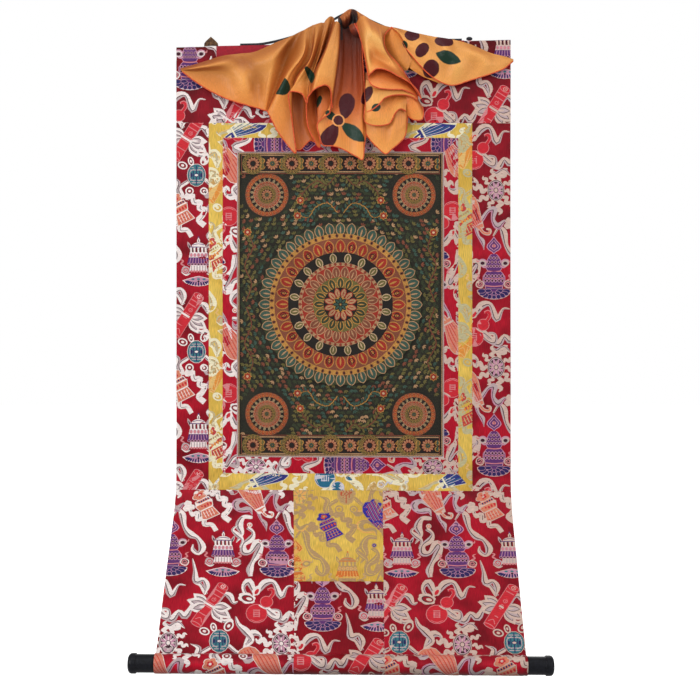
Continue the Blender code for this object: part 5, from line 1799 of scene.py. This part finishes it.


# %% The creases of each layer, each from the gather to the hem
# Each layer's tones run from the gather to the hem: the silk's orange with painted shade where a layer lies
# deep in a fold or in the gather, and painted light where it gets less lamp light.
SILK_LAYERS = (
    {"layer": "left_inside", "hems": ("bottom",), "tones": ((196, 104, 48), (216, 118, 52)), "creases": (
        ((289, 86, 10), (290, 108, 9), (293, 130, 10), (296.5, 149.5, 13)),
        ((296, 84, 3), (298, 106, 4), (299, 128, 5), (301, 149, 8)),
        ((303, 84, 5), (304, 106, 6), (305, 125, 7), (309.7, 140.7, 9)),
        ((309, 84, 12), (309, 104, 15), (309.5, 124, 16), (314, 142, 14)))},
    {"layer": "second_inside", "hems": ("bottom", "left"),
     "tones": ((190, 92, 42), (226, 122, 56)), "creases": (
        ((306.5, 94, 16), (306.4, 112, 19), (308.5, 128, 19), (317, 145.6, 17)),
        ((309.5, 88, 9), (310.5, 106, 10), (313, 124, 12), (320, 146.5, 15)),
        ((313, 86, 2), (315, 98, 2), (316, 110, 5), (319, 130, 11)),
        ((317, 84, 8), (318, 96, 12), (317.5, 108, 13), (318, 124, 12)),
        ((324, 84, 12), (324, 96, 15), (323, 106, 16), (322, 118.5, 14)),
        ((331, 82, 12), (331, 92, 13), (330.5, 102, 14), (329.8, 113, 15)))},
    {"layer": "right_rear", "hems": ("bottom", "right"),
     "tones": ((214, 116, 58), (248, 164, 80)), "creases": (
        ((359, 70, 6), (359, 90, 8), (359, 106, 9), (359.6, 120.7, 10)),
        ((364, 72, 8), (364, 96, 11), (365, 116, 13), (366, 133.7, 12)),
        ((371, 74, 10), (371, 100, 15), (371, 122, 17), (371.5, 141.5, 14)),
        ((380, 76, 10), (379, 106, 17), (378, 130, 19), (378, 148, 15)),
        ((390, 78, 9), (388, 108, 14), (386, 134, 17), (385.6, 153.8, 16)),
        ((398, 80, 9), (396, 106, 17), (394, 128, 20), (392, 149, 15)),
        ((404, 84, 9), (402, 104, 15), (400, 124, 17), (398.6, 143.5, 14)),
        ((408, 88, 8), (406, 104, 12), (405.5, 120, 14), (405, 135.9, 12)),
        ((411, 90, 6), (409, 102, 9), (408, 112, 10), (407.3, 122, 10)))},
    {"layer": "right_lobe", "hems": ("bottom",), "tones": ((224, 112, 54), (248, 156, 74)), "creases": (
        ((396, 88, 12), (400, 98, 13), (404, 108, 13), (408.4, 116.4, 12)),
        ((402, 86, 15), (406, 98, 19), (410, 110, 18), (413.8, 119.6, 15)),
        ((408, 86, 16), (412, 97, 21), (417, 109, 20), (421.4, 119.6, 16)),
        ((412, 88, 14), (415.5, 97, 17), (420, 106, 17), (423.5, 114.2, 14)),
        ((415, 91, 10), (417, 96, 12), (419, 101, 12), (422.6, 106.6, 11)))},
    {"layer": "right_front", "hems": ("bottom", "left"),
     "tones": ((228, 128, 58), (250, 168, 82)), "creases": (
        ((366, 100, 22), (365, 107, 23), (364.3, 113, 23), (363.9, 118.5, 21)),
        ((369, 98, 24), (368, 108, 27), (367, 116, 27), (366.3, 122.9, 23)),
        ((375, 94, 24), (374.5, 106, 29), (373.5, 117, 29), (373, 125.2, 25)),
        ((383, 92, 22), (382, 104, 25), (381.5, 116, 27), (381.3, 125.4, 25)),
        ((391, 92, 20), (390, 103, 23), (389.5, 114, 25), (389.9, 122.9, 24)),
        ((398, 92, 19), (395.5, 100, 22), (394.5, 107, 24), (395.3, 113.1, 24)),
        ((405, 92, 17), (402, 98, 20), (400, 104, 23), (400.5, 108.8, 23)),
        ((412, 92, 16), (410, 98, 18), (406.5, 104, 19), (406.2, 111.4, 18)))},
    {"layer": "right_arch", "hems": ("bottom",), "tones": ((250, 170, 90), (250, 172, 90)), "creases": (
        ((366, 80, 22), (365.5, 90, 25), (366, 102, 27), (367, 112, 27)),
        ((371, 82, 24), (370.5, 92, 29), (370.5, 101, 30), (372.4, 109.5, 30)),
        ((377, 84, 25), (376.5, 92, 31), (376.5, 99, 32), (378.6, 104.7, 32)),
        ((383, 85, 25), (383, 90, 31), (383, 95, 32), (384.1, 98.6, 33)),
        ((390, 86, 25), (390, 89.5, 30), (390, 93, 31), (390.5, 95.8, 32)),
        ((397, 86, 24), (397.5, 89.5, 28), (398, 92.5, 29), (398.6, 94.8, 30)),
        ((404, 87, 22), (405, 90, 25), (406, 93, 27), (407, 95.2, 28)),
        ((410, 89, 20), (412, 92, 22), (413.5, 95, 23), (414.2, 98, 24)),
        ((415, 92, 18), (416.5, 95, 19), (417, 98, 20), (417.2, 101, 20)))},
    {"layer": "third_inside", "hems": ("bottom",), "tones": ((196, 86, 38), (248, 152, 74)), "creases": (
        ((368, 74, 26), (368.2, 75, 29), (368.4, 76, 32), (368.6, 76.6, 33)),
        ((370, 72, 24), (369.6, 75.5, 30), (369.4, 79, 34), (369.9, 82.2, 36)),
        ((374, 68, 22), (373, 75, 29), (372.6, 81, 35), (373.5, 86, 38)),
        ((380, 66, 21), (380, 74, 28), (380.5, 82, 35), (381.5, 88.5, 38)),
        ((390, 68, 19), (390.5, 76, 26), (391, 83, 32), (391.5, 89.3, 36)),
        ((400, 75, 17), (400.5, 80, 23), (401, 85, 29), (401.5, 89.5, 32)),
        ((408, 81, 16), (408.5, 85, 21), (409, 89, 25), (409.5, 92.2, 27)),
        ((414, 86, 15), (414.3, 89.5, 18), (414.5, 92.5, 21), (415, 95.4, 22)),
        ((418, 92, 15), (418, 94.5, 16), (418, 97, 18), (418, 99.4, 18)))},
    {"layer": "flap", "hems": ("bottom", "left", "right"), "tones": (
        (70, 24, 16), (150, 64, 34), (182, 84, 40), (208, 108, 48), (236, 142, 64),
        (244, 160, 78)), "creases": (
        ((337, 28, 5), (335, 60, 7), (332, 95, 16), (329.8, 113.1, 20)),
        ((338, 28, 5), (336, 64, 6), (330, 104, 17), (321, 119.5, 22)),
        ((339, 28, 5), (337, 68, 6), (328, 108, 16), (317.3, 125, 22)),
        ((340.5, 28, 4.5), (339, 72, 6), (329.5, 114, 14), (319.5, 136, 20)),
        ((342, 28, 5), (340.5, 76, 5), (332, 118, 15), (323, 145, 17)),
        ((345, 28, 5.5), (344, 78, 7), (338, 118, 17), (333.6, 146, 16)),
        ((348, 28, 5), (350, 80, 7.5), (345, 118, 14), (342.5, 149, 14)),
        ((352, 28, 5), (354, 82, 6), (351.5, 118, 14), (350, 153, 15)),
        ((355, 28, 5), (357.5, 84, 9), (357.5, 118, 17), (357, 156.8, 18)),
        ((358, 30, 7), (360, 86, 13), (361.5, 118, 19), (362.8, 159.2, 18)),
        ((360, 34, 9), (361.8, 84, 15), (363.5, 112, 16), (364.5, 144.6, 15)),
        ((361.5, 40, 9), (364, 80, 13), (365, 104, 13), (366, 134, 12)))},
    {"layer": "left_front", "hems": ("bottom",), "tones": (
        (196, 122, 56), (210, 134, 64), (224, 146, 70), (232, 140, 62)), "creases": (
        ((180.3, 68.5, 5), (180.8, 69.5, 6), (181.4, 70.4, 6), (182.2, 71.5, 5)),
        ((190, 65.8, 7), (191, 68.6, 14), (191.6, 72, 7), (192.5, 79.5, 6)),
        ((205, 61.3, 8), (207.5, 66, 19), (209, 72.5, 7), (207.5, 89.3, 8)),
        ((222, 56, 9), (225, 63, 21), (226, 75, 9), (226, 98.5, 9)),
        ((240, 53.6, 10), (242, 62, 12), (244, 80, 20), (245, 104.5, 10)),
        ((255, 51.7, 11), (257, 64, 20), (256, 84, 8), (257.5, 108, 9)),
        ((275, 42.8, 14), (270, 58, 25), (265, 82, 15), (262, 109.5, 9)),
        ((289, 37.2, 17), (279, 52, 25), (272, 70, 21), (265, 110.3, 10)),
        ((299, 32.2, 15), (290, 50, 9), (281.5, 72, 8), (267, 111, 8)),
        ((304, 30, 20), (302, 53, 26), (286.5, 76, 25), (268.3, 113, 13)),
        ((307, 28.2, 21), (304.3, 54, 23), (289, 80, 21), (276, 128.5, 13)),
        ((309.5, 26.8, 21), (306.3, 55, 18), (291, 84, 17), (285, 141.5, 13)),
        ((311.5, 25.8, 21), (308, 56, 16), (292.5, 86, 15), (295.6, 153.2, 17)),
        ((313, 25, 21), (309, 57, 16), (293.5, 84, 15), (294.3, 138, 20)),
        ((314.5, 24.6, 22), (310, 57, 18), (295, 80, 18), (291, 114, 24)),
        ((317.5, 23.6, 23), (311.5, 56, 28), (298.5, 77.5, 28), (288.6, 94.2, 29)),
        ((321, 22.6, 22), (313.5, 56, 23), (302, 79, 25), (294.5, 91.6, 29)),
        ((324, 22.6, 20), (315.5, 56, 16), (305.5, 81, 21), (302.5, 94.4, 28)),
        ((325.8, 19.9, 21), (318.5, 51, 16), (309, 81, 19), (306.6, 103, 27)),
        ((330, 16.4, 23), (321, 50, 20), (311, 80, 22), (308, 97, 30)),
        ((333.4, 17.4, 20), (324, 50, 13), (313.5, 72, 18), (310, 94.3, 31)),
        ((334.9, 21.6, 25), (326.3, 48, 35), (317, 72, 37), (313.5, 90, 36)),
        ((336.5, 21.2, 27), (330, 48, 38), (322.5, 72, 39), (320, 86.2, 37)),
        ((338.4, 22.2, 27), (334, 48, 38), (328, 74, 38), (326.5, 85.2, 35)),
        ((339.8, 24.5, 24), (338, 50, 36), (333.5, 74, 35), (330.6, 90, 31)),
        ((340.3, 28, 18), (339.2, 52, 28), (335.5, 78, 29), (331.5, 101, 26)),
        ((340.4, 30, 7), (339.8, 54, 8), (336.2, 82, 9), (332.5, 108, 20)))},
    {"layer": "roll_inside", "hems": (), "tones": ((220, 130, 52), (224, 142, 66)), "creases": (
        ((384, 28, 7), (381, 40, 8), (392, 60, 8), (403.5, 71, 8)),
        ((388, 27.5, 11), (388, 42, 14), (397, 60, 13), (405.6, 70.4, 9)),
        ((391, 27.4, 12), (393, 40, 17), (400, 56, 16), (408, 69, 11)),
        ((393, 28, 11), (399.5, 36, 13), (406, 49.5, 13), (412, 60, 11)))},
    {"layer": "wing_inside", "hems": (), "tones": ((214, 136, 60), (232, 146, 66)), "creases": (
        ((404, 50, 9), (405, 55, 10), (406, 60, 10), (407.5, 66, 9)),
        ((412, 56, 9), (412.5, 61, 10), (413, 66, 10), (413.8, 71, 9)),
        ((420, 64, 9), (420.5, 68, 10), (421, 72, 10), (421.5, 75.9, 8)),
        ((429, 72, 8), (429.3, 75, 9), (429.5, 77.5, 9), (430, 79.6, 8)),
        ((440, 80, 7), (440, 81.5, 8), (440, 82.5, 8), (440.5, 83.8, 7)))},
    {"layer": "right_wing", "hems": ("bottom", "left"),
     "tones": ((232, 160, 82), (250, 172, 90)), "creases": (
        ((391, 27, 12), (392, 27.6, 13), (393, 28.4, 13), (394.5, 30, 12)),
        ((396, 27.8, 11), (397.5, 30, 15), (399, 33, 15), (400.2, 36.8, 12)),
        ((403, 29.6, 10), (404, 35, 15), (405, 41, 16), (405.5, 47.4, 12)),
        ((413, 32.2, 9), (413.5, 39, 16), (413.5, 48, 17), (412.5, 56.6, 12)),
        ((424, 34.6, 9), (425, 44, 18), (425, 56, 18), (421, 66.4, 12)),
        ((434, 36.6, 9), (436, 47, 14), (435, 62, 17), (430.5, 75.5, 12)),
        ((444, 38, 9), (446, 50, 20), (446, 66, 13), (442, 82.6, 10)),
        ((455, 40, 9), (457, 51, 14), (458, 66, 18), (454, 85.2, 9)),
        ((468.5, 43.6, 8), (471.5, 53, 17), (473, 65, 11), (470, 80.3, 8)),
        ((480, 48.4, 8), (483, 55, 14), (485, 64, 14), (484, 76, 7)),
        ((491.5, 53.3, 7), (493, 57.5, 9), (494, 64, 10), (495, 72.3, 7)),
        ((503, 56, 6), (503.5, 59.5, 8), (503.8, 64, 8), (504, 68.5, 6)),
        ((513.3, 59.2, 5), (513.3, 59.7, 6), (513.4, 60.3, 6), (513.4, 61, 5)))},
    {"layer": "right_drape", "hems": ("bottom", "right", "left"), "tones": (
        (228, 148, 70), (250, 172, 92), (250, 164, 84), (248, 154, 74)), "creases": (
        ((356.4, 23, 14), (359.2, 34, 22), (362.5, 46, 27), (365.5, 60, 31), (368.4, 76.2, 33)),
        ((360, 17.5, 20), (363, 32, 31), (366, 46, 34), (368.5, 60, 36), (371, 73, 37)),
        ((364.4, 15.8, 22), (368, 30, 37), (371.5, 45, 34), (374, 57, 27), (377.4, 68.6, 37)),
        ((371, 19.9, 22), (374, 33, 38), (378, 47, 36), (381.5, 60, 26), (387.1, 70.1, 37)),
        ((376, 22.5, 21), (379, 36, 37), (383, 49, 35), (389, 63, 26), (398.6, 76.2, 35)),
        ((381, 24.7, 19), (381.8, 37, 34), (385, 50, 33), (394, 65, 25), (409.5, 82.3, 30)),
        ((387, 26.3, 16), (383.4, 36, 27), (386.2, 50.5, 27), (398, 67, 22), (418, 91.3, 26)),
        ((391.4, 27.4, 12), (384.4, 36, 22), (386.4, 50.5, 23), (400, 66.8, 19), (421.5, 99, 19)))},
    # A dark sheet of painted shadow, where the gather lies in shade.
    {"layer": "gather_deep", "hems": (), "tones": (
        (84, 40, 24), (26, 12, 12), (30, 14, 12), (60, 22, 16)), "creases": (
        ((338, 18.2, 4), (338, 24, 6), (337, 30, 6), (336, 40, 6)),
        ((341.6, 14.8, 4), (343.5, 21, 7), (344, 28, 5), (344, 40, 5)),
        ((346.4, 11.2, 4), (349, 18, 4), (350, 26, 4), (350, 40, 4)),
        ((350.4, 9.2, 4), (353, 17, 6), (353.5, 26, 5), (353.5, 40, 5)),
        ((354.6, 9.6, 4), (355.5, 18, 4), (356.5, 27, 4), (357, 40, 4)),
        ((359.4, 12.6, 4), (361, 20, 7), (362, 30, 7), (362, 42, 7)))},
    {"layer": "gather_left", "hems": (), "tones": (
        (206, 128, 62), (190, 108, 52), (110, 48, 24), (22, 10, 10)), "creases": (
        ((339.6, 17.2, 8), (341.6, 19.6, 12), (342.4, 23, 11), (343, 28, 6)),
        ((342.4, 14.2, 9), (344.2, 17.8, 16), (345, 22, 15), (345.4, 29, 6)),
        ((345.6, 11.6, 9), (347, 15.4, 13), (347.6, 20, 11), (347.8, 27, 6)),
        ((348.6, 9.6, 9), (349.6, 13, 15), (349.6, 18, 13), (349.8, 24, 5)),
        ((351.2, 9.0, 8), (351.2, 11.6, 10), (351, 15, 8), (351, 20, 5)))},
    {"layer": "gather_right", "hems": (), "tones": (
        (216, 140, 68), (230, 150, 76), (160, 84, 40)), "creases": (
        ((356.6, 11, 8), (357.4, 13.4, 9), (357.6, 16, 8), (357.4, 20, 6)),
        ((359, 12.4, 9), (359.6, 16.6, 15), (359, 22, 18), (357.8, 29, 12)),
        ((361.6, 14, 11), (361.8, 19, 21), (361, 27, 25), (359.8, 37, 18)),
        ((364.8, 15.8, 14), (365, 20, 25), (364.6, 28, 31), (363.4, 42, 25)))},
    {"layer": "gather_fringe", "hems": ("right",), "tones": (
        (150, 76, 40), (130, 50, 30), (60, 24, 18)), "creases": (
        ((349, 26, 12), (350, 30, 15), (352, 34, 14), (356, 38, 12)),
        ((351.5, 24, 14), (352.6, 27.5, 18), (354.6, 31.5, 18), (358, 36, 15)),
        ((354.5, 23.4, 14), (355.6, 26, 18), (357.6, 30, 20), (360, 36, 18)))},
)
SILK_ACROSS = 6
SILK_DOWN = 18
SILK_THICKNESS = 0.00035
CREASE_WAVE = 0.00025
FOLD_WINDOW = 16


def silk_layer(creases):
    """A grid of points through the creases, with small creases that fade towards the hem."""
    down_each = along_rows(seen(creases), SILK_DOWN)
    grid = along_rows(down_each.transpose(1, 0, 2), SILK_ACROSS)
    down = np.linspace(0, 1, grid.shape[0])[:, None]
    across = np.linspace(0, len(creases) - 1, grid.shape[1])[None, :]
    fine = np.sin(across * 5.3 + 2.0 * down) + 0.6 * np.sin(across * 8.1 - 5.0 * down + 1.0)
    soft = np.sin(across * 2.9 + 6.0 * down) * np.sin(7.0 * down + across)
    fading = fine * (1 - down) ** 1.5 * np.clip(down * 8, 0, 1)
    grid[..., 1] -= CREASE_WAVE * (fading + 1.1 * soft * down * (1 - down))
    return grid


def fold_height(grid):
    """How far each point stands in front of its neighbours across, so ridges are plus."""
    front = -grid[..., 1]
    width = min(FOLD_WINDOW, grid.shape[1] // 2)
    padded = np.pad(front, ((0, 0), (width, width)), mode="edge")
    total = np.cumsum(np.pad(padded, ((0, 0), (1, 0))), axis=1)
    span = 2 * width + 1
    return front - (total[:, span:] - total[:, :-span]) / span


def grid_normals(grid):
    """The direction that each point of a grid faces, towards the viewer's side."""
    normal = np.cross(np.gradient(grid, axis=0), np.gradient(grid, axis=1))
    return normal / (np.linalg.norm(normal, axis=-1, keepdims=True) + 1e-12)


silk_grids = {row["layer"]: silk_layer(row["creases"]) for row in SILK_LAYERS}
print("silk layers:", len(silk_grids))


# %% [markdown]
# ### Silk, its print and its hem
#
# The silk is shot: the threads that run down are golden, those across are red, so it looks
# golden where it faces the viewer and red-brown where it turns away. That is what makes the
# folds read so clearly. The petals are printed, each a round or pointed leaf shape in the
# plane of the picture. The free edges are overlocked: close stitches round the edge, which
# look like a fine red cord with small beads.

# %% The print: middle, half sizes, turn and colour of each petal, as seen in the photograph
PETALS = (
    {"at": (280.6, 85.3), "half": (10.4, 8.6), "turn": 31, "ink": "green", "cut": 0.0},
    {"at": (309.4, 75.4), "half": (5.4, 8.6), "turn": -24, "ink": "green", "cut": -0.25},
    {"at": (319.2, 100.2), "half": (2.5, 6.4), "turn": 16, "ink": "green", "egg": 0.4, "pointed": 0.6},
    {"at": (331.4, 114.6), "half": (4.0, 7.0), "turn": -52, "ink": "green", "pointed": 0.8},
    {"at": (347.0, 104.4), "half": (7.8, 13.2), "turn": 9, "ink": "maroon", "egg": 0.25, "pointed": 0.3},
    {"at": (330.4, 134.8), "half": (7.8, 13.6), "turn": 30, "ink": "maroon", "egg": -0.25, "pointed": 0.3},
    {"at": (353.6, 131.4), "half": (6.4, 15.0), "turn": -51, "ink": "green", "pointed": 0.8},
    {"at": (338.9, 119.4), "half": (6.3, 6.3), "turn": 0, "ink": "pale"},
    {"at": (338.9, 119.4), "half": (4.8, 4.8), "turn": 0, "ink": "maroon"},
    {"at": (412.8, 33.8), "half": (7.6, 6.0), "turn": 0, "ink": "maroon"},
    {"at": (422.8, 49.0), "half": (5.8, 8.0), "turn": 42, "ink": "maroon"},
    {"at": (431.8, 67.4), "half": (8.0, 8.8), "turn": 24, "ink": "maroon"},
    {"at": (445.0, 39.6), "half": (9.4, 5.8), "turn": 6, "ink": "maroon"},
    {"at": (449.0, 56.6), "half": (6.2, 13.2), "turn": -70, "ink": "green", "pointed": 0.8},
    {"at": (405.7, 43.0), "half": (2.2, 4.2), "turn": -30, "ink": "green", "pointed": 0.5},
    {"at": (367.4, 95.0), "half": (4.8, 9.0), "turn": 28, "ink": "maroon", "pointed": 0.2},
    {"at": (376.4, 108.4), "half": (3.6, 5.0), "turn": 62, "ink": "green", "pointed": 0.4},
)
INKS = {"maroon": linear(72, 6, 18), "green": linear(18, 50, 34), "pale": linear(242, 164, 92)}
PETAL_FRONT = 20.0
PRINT_BLUR = 0.08
ANY_DEPTH = 100.0
UNCUT = -9.0
TURNED_AWAY = (0.50, 0.24, 0.16)
WOBBLE = 0.0014


def printed(tree, place, silk, at, half, turn, ink, egg=0.0, pointed=0.0, cut=UNCUT):
    """
    The silk with one petal of ink on it, whatever its depth. Across and along the petal run
    from -1 to 1. It ends where across to a power, plus along squared, comes to 1: the power
    2 gives an ellipse and 1 gives a leaf with two points. egg makes one end wider.
    """
    scale = (half[0] * PIXEL * MM, ANY_DEPTH, half[1] * PIXEL * MM)
    moved = {"Vector": place, "Location": tuple(seen((*at, PETAL_FRONT))),
             "Rotation": (0, math.radians(turn), 0), "Scale": scale}
    own = add_node(tree, "ShaderNodeMapping", moved, vector_type="TEXTURE")
    parts = add_node(tree, "ShaderNodeSeparateXYZ", {0: own}).node.outputs
    across, along = parts["X"], parts["Z"]
    wider = add_node(tree, "ShaderNodeMath", {0: along, 1: egg, 2: 1.0}, operation="MULTIPLY_ADD")
    out = summed(tree, add_node(tree, "ShaderNodeMath", {0: across}, operation="ABSOLUTE"), wider, "DIVIDE")
    reach = summed(tree, summed(tree, out, 2.0 - pointed, "POWER"), times(tree, along, along))
    inside = ramp(tree, reach, 1 - PRINT_BLUR, 1 + PRINT_BLUR, 1.0, 0.0)
    return mixed(tree, times(tree, inside, summed(tree, across, cut, "GREATER_THAN")), silk, INKS[ink])


def shot_silk(name):
    """Silk: the colour stored on the mesh, redder where it turns away, with the printed petals."""
    made, tree, shader = new_material(name, 0.4, 0.03, specular=0.3)
    shader.inputs["Anisotropic"].default_value = 0.4
    colour = mesh_colour(tree)
    facing = add_node(tree, "ShaderNodeLayerWeight", {"Blend": 0.5}).node.outputs["Facing"]
    away = mixed(tree, 1.0, colour, TURNED_AWAY, "MULTIPLY")
    silk = mixed(tree, ramp(tree, facing, 0.12, 0.8), colour, away)
    place = object_place(tree)
    wobble = noise(tree, place, 170.0, 2.0).node.outputs["Color"]
    shift = add_node(tree, "ShaderNodeVectorMath", {0: wobble, "Scale": WOBBLE}, operation="SCALE")
    wavy = add_node(tree, "ShaderNodeVectorMath", {0: place, 1: shift}, operation="ADD")
    for row in PETALS:
        silk = printed(tree, wavy, silk, **row)
    fine = between(tree, noise(tree, stretched(tree, place, 1800.0, 1800.0), 1.0, 1.0), 0.9, 1.1)
    coloured(tree, shader, silk, fine)
    crumple = summed(tree, noise(tree, place, 60.0, 3.0), noise(tree, place, 190.0, 2.0))
    bumped(tree, shader, crumple, 0.0016, 0.5)
    return made


silk_material = shot_silk("shot_orange_silk")
hem_thread = plain_cloth("hem_thread", linear(250, 116, 66), linear(216, 70, 42), 0.0007, 0.0002, 0.5, 0.05)
print("petals:", len(PETALS))


# %% [markdown]
# ### The cover as one piece
#
# All the layers go into one mesh, since they are one cloth. Its tone follows the folds:
# a painted highlight, paler, on the ridges, and painted shade, darker and redder, in the
# valleys, where colour bounces between walls.

# %% Sheets and hems
FOLD_REACH = 0.009
VALLEY_PAINTED_SHADE = (0.62, 0.48, 0.38)
RIDGE_PAINTED_HIGHLIGHT = (1.30, 1.42, 1.6)
HEM_RADIUS = 0.0009
HEM_AROUND = 8
HEM_STEP = 0.0008
HEM_BEAD = 0.0021
HEM_SWELL = 0.22
HEM_END = 0.3


def even_path(path, step):
    """The same path with points at even steps."""
    length = np.concatenate([[0], np.cumsum(np.linalg.norm(np.diff(path, axis=0), axis=1))])
    wanted = np.linspace(0, length[-1], max(2, round(length[-1] / step)))
    return np.stack([np.interp(wanted, length, path[:, k]) for k in range(3)], axis=-1)


def hem_tube(path):
    """An overlocked edge: rings round the path, a little wider at each stitch."""
    path = even_path(path, HEM_STEP)
    along = np.gradient(path, axis=0)
    along /= np.linalg.norm(along, axis=1, keepdims=True)
    out = np.cross(along, np.array([0.0, 1.0, 0.0]))
    out /= np.linalg.norm(out, axis=1, keepdims=True)
    side = np.cross(along, out)
    turn = np.linspace(0, 2 * math.pi, HEM_AROUND, endpoint=False)
    run = np.arange(len(path)) * HEM_STEP
    radius = HEM_RADIUS * (1 + HEM_SWELL * np.sin(2 * math.pi * run / HEM_BEAD))
    radius[[0, -1]] *= HEM_END
    ring = np.cos(turn)[None, :, None] * out[:, None] + np.sin(turn)[None, :, None] * side[:, None]
    return path[:, None] + ring * radius[:, None, None]


def silk_piece():
    """Every layer as a closed thin sheet in one mesh, with each point's colour."""
    points, faces, colours, hems, start = [], [], [], [], 0
    for row in SILK_LAYERS:
        grid = silk_grids[row["layer"]]
        normal = grid_normals(grid)
        points += [(grid + normal * side * SILK_THICKNESS / 2).reshape(-1, 3) for side in (1, -1)]
        faces.append(np.concatenate(sheet_faces(*grid.shape[:2])) + start)
        start += 2 * normal[..., 0].size
        tones = np.array([linear(*tone) for tone in row["tones"]])
        share = np.linspace(0, len(tones) - 1, len(grid))
        down = np.stack([np.interp(share, range(len(tones)), tones[:, k]) for k in range(3)], axis=-1)
        # Painted shade in the valleys of the folds and a painted highlight on their ridges.
        depth = np.clip(fold_height(grid) / FOLD_REACH, -1, 1)[..., None]
        tint = 1 + depth * np.where(depth < 0, 1 - np.array(VALLEY_PAINTED_SHADE), np.array(RIDGE_PAINTED_HIGHLIGHT) - 1)
        colours += [np.clip(down[:, None] * tint, 0, 0.95).reshape(-1, 3)] * 2
        edges = {"bottom": grid[-1], "left": grid[:, 0], "right": grid[:, -1]}
        hems += [edges[name] for name in row["hems"]]
    made = add_piece("silk_cloth", np.concatenate(points), np.concatenate(faces), [silk_material])
    set_colours(made, np.concatenate(colours))
    return made, hems


def hem_piece(hems):
    """All the overlocked edges as one piece."""
    points, faces, start = [], [], 0
    for path in hems:
        ring = hem_tube(path)
        rows, columns = ring.shape[:2]
        points.append(ring.reshape(-1, 3))
        faces.append(grid_faces(rows, columns, around=True) + start)
        start += rows * columns
    made = add_piece("silk_hem", np.concatenate(points), np.concatenate(faces), [hem_thread])
    return finish_piece(made, "orange_silk")


silk, silk_hems = silk_piece()
finish_piece(silk, "orange_silk", "silk_cover")
silk_hem = hem_piece(silk_hems)
silk_area = sum(face.area for face in silk.data.polygons) / 2
print(f"silk {silk_area * 1e4:.0f} cm2, {len(silk.data.polygons)} faces, hem {len(silk_hem.data.polygons)}")


# %% Finish the hard pieces
hard_pieces = {"top_batten": batten_wood, "roller_rod": rod_wood, "roller_cap_left": cap_black,
               "roller_cap_right": cap_black, "hanging_strap": dark_tape, "strap_knot": dark_tape,
               "corner_tab": tab_gold, "heading_band": plain_red}
for name, material in hard_pieces.items():
    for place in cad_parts[name].material_slots:
        place.material = material
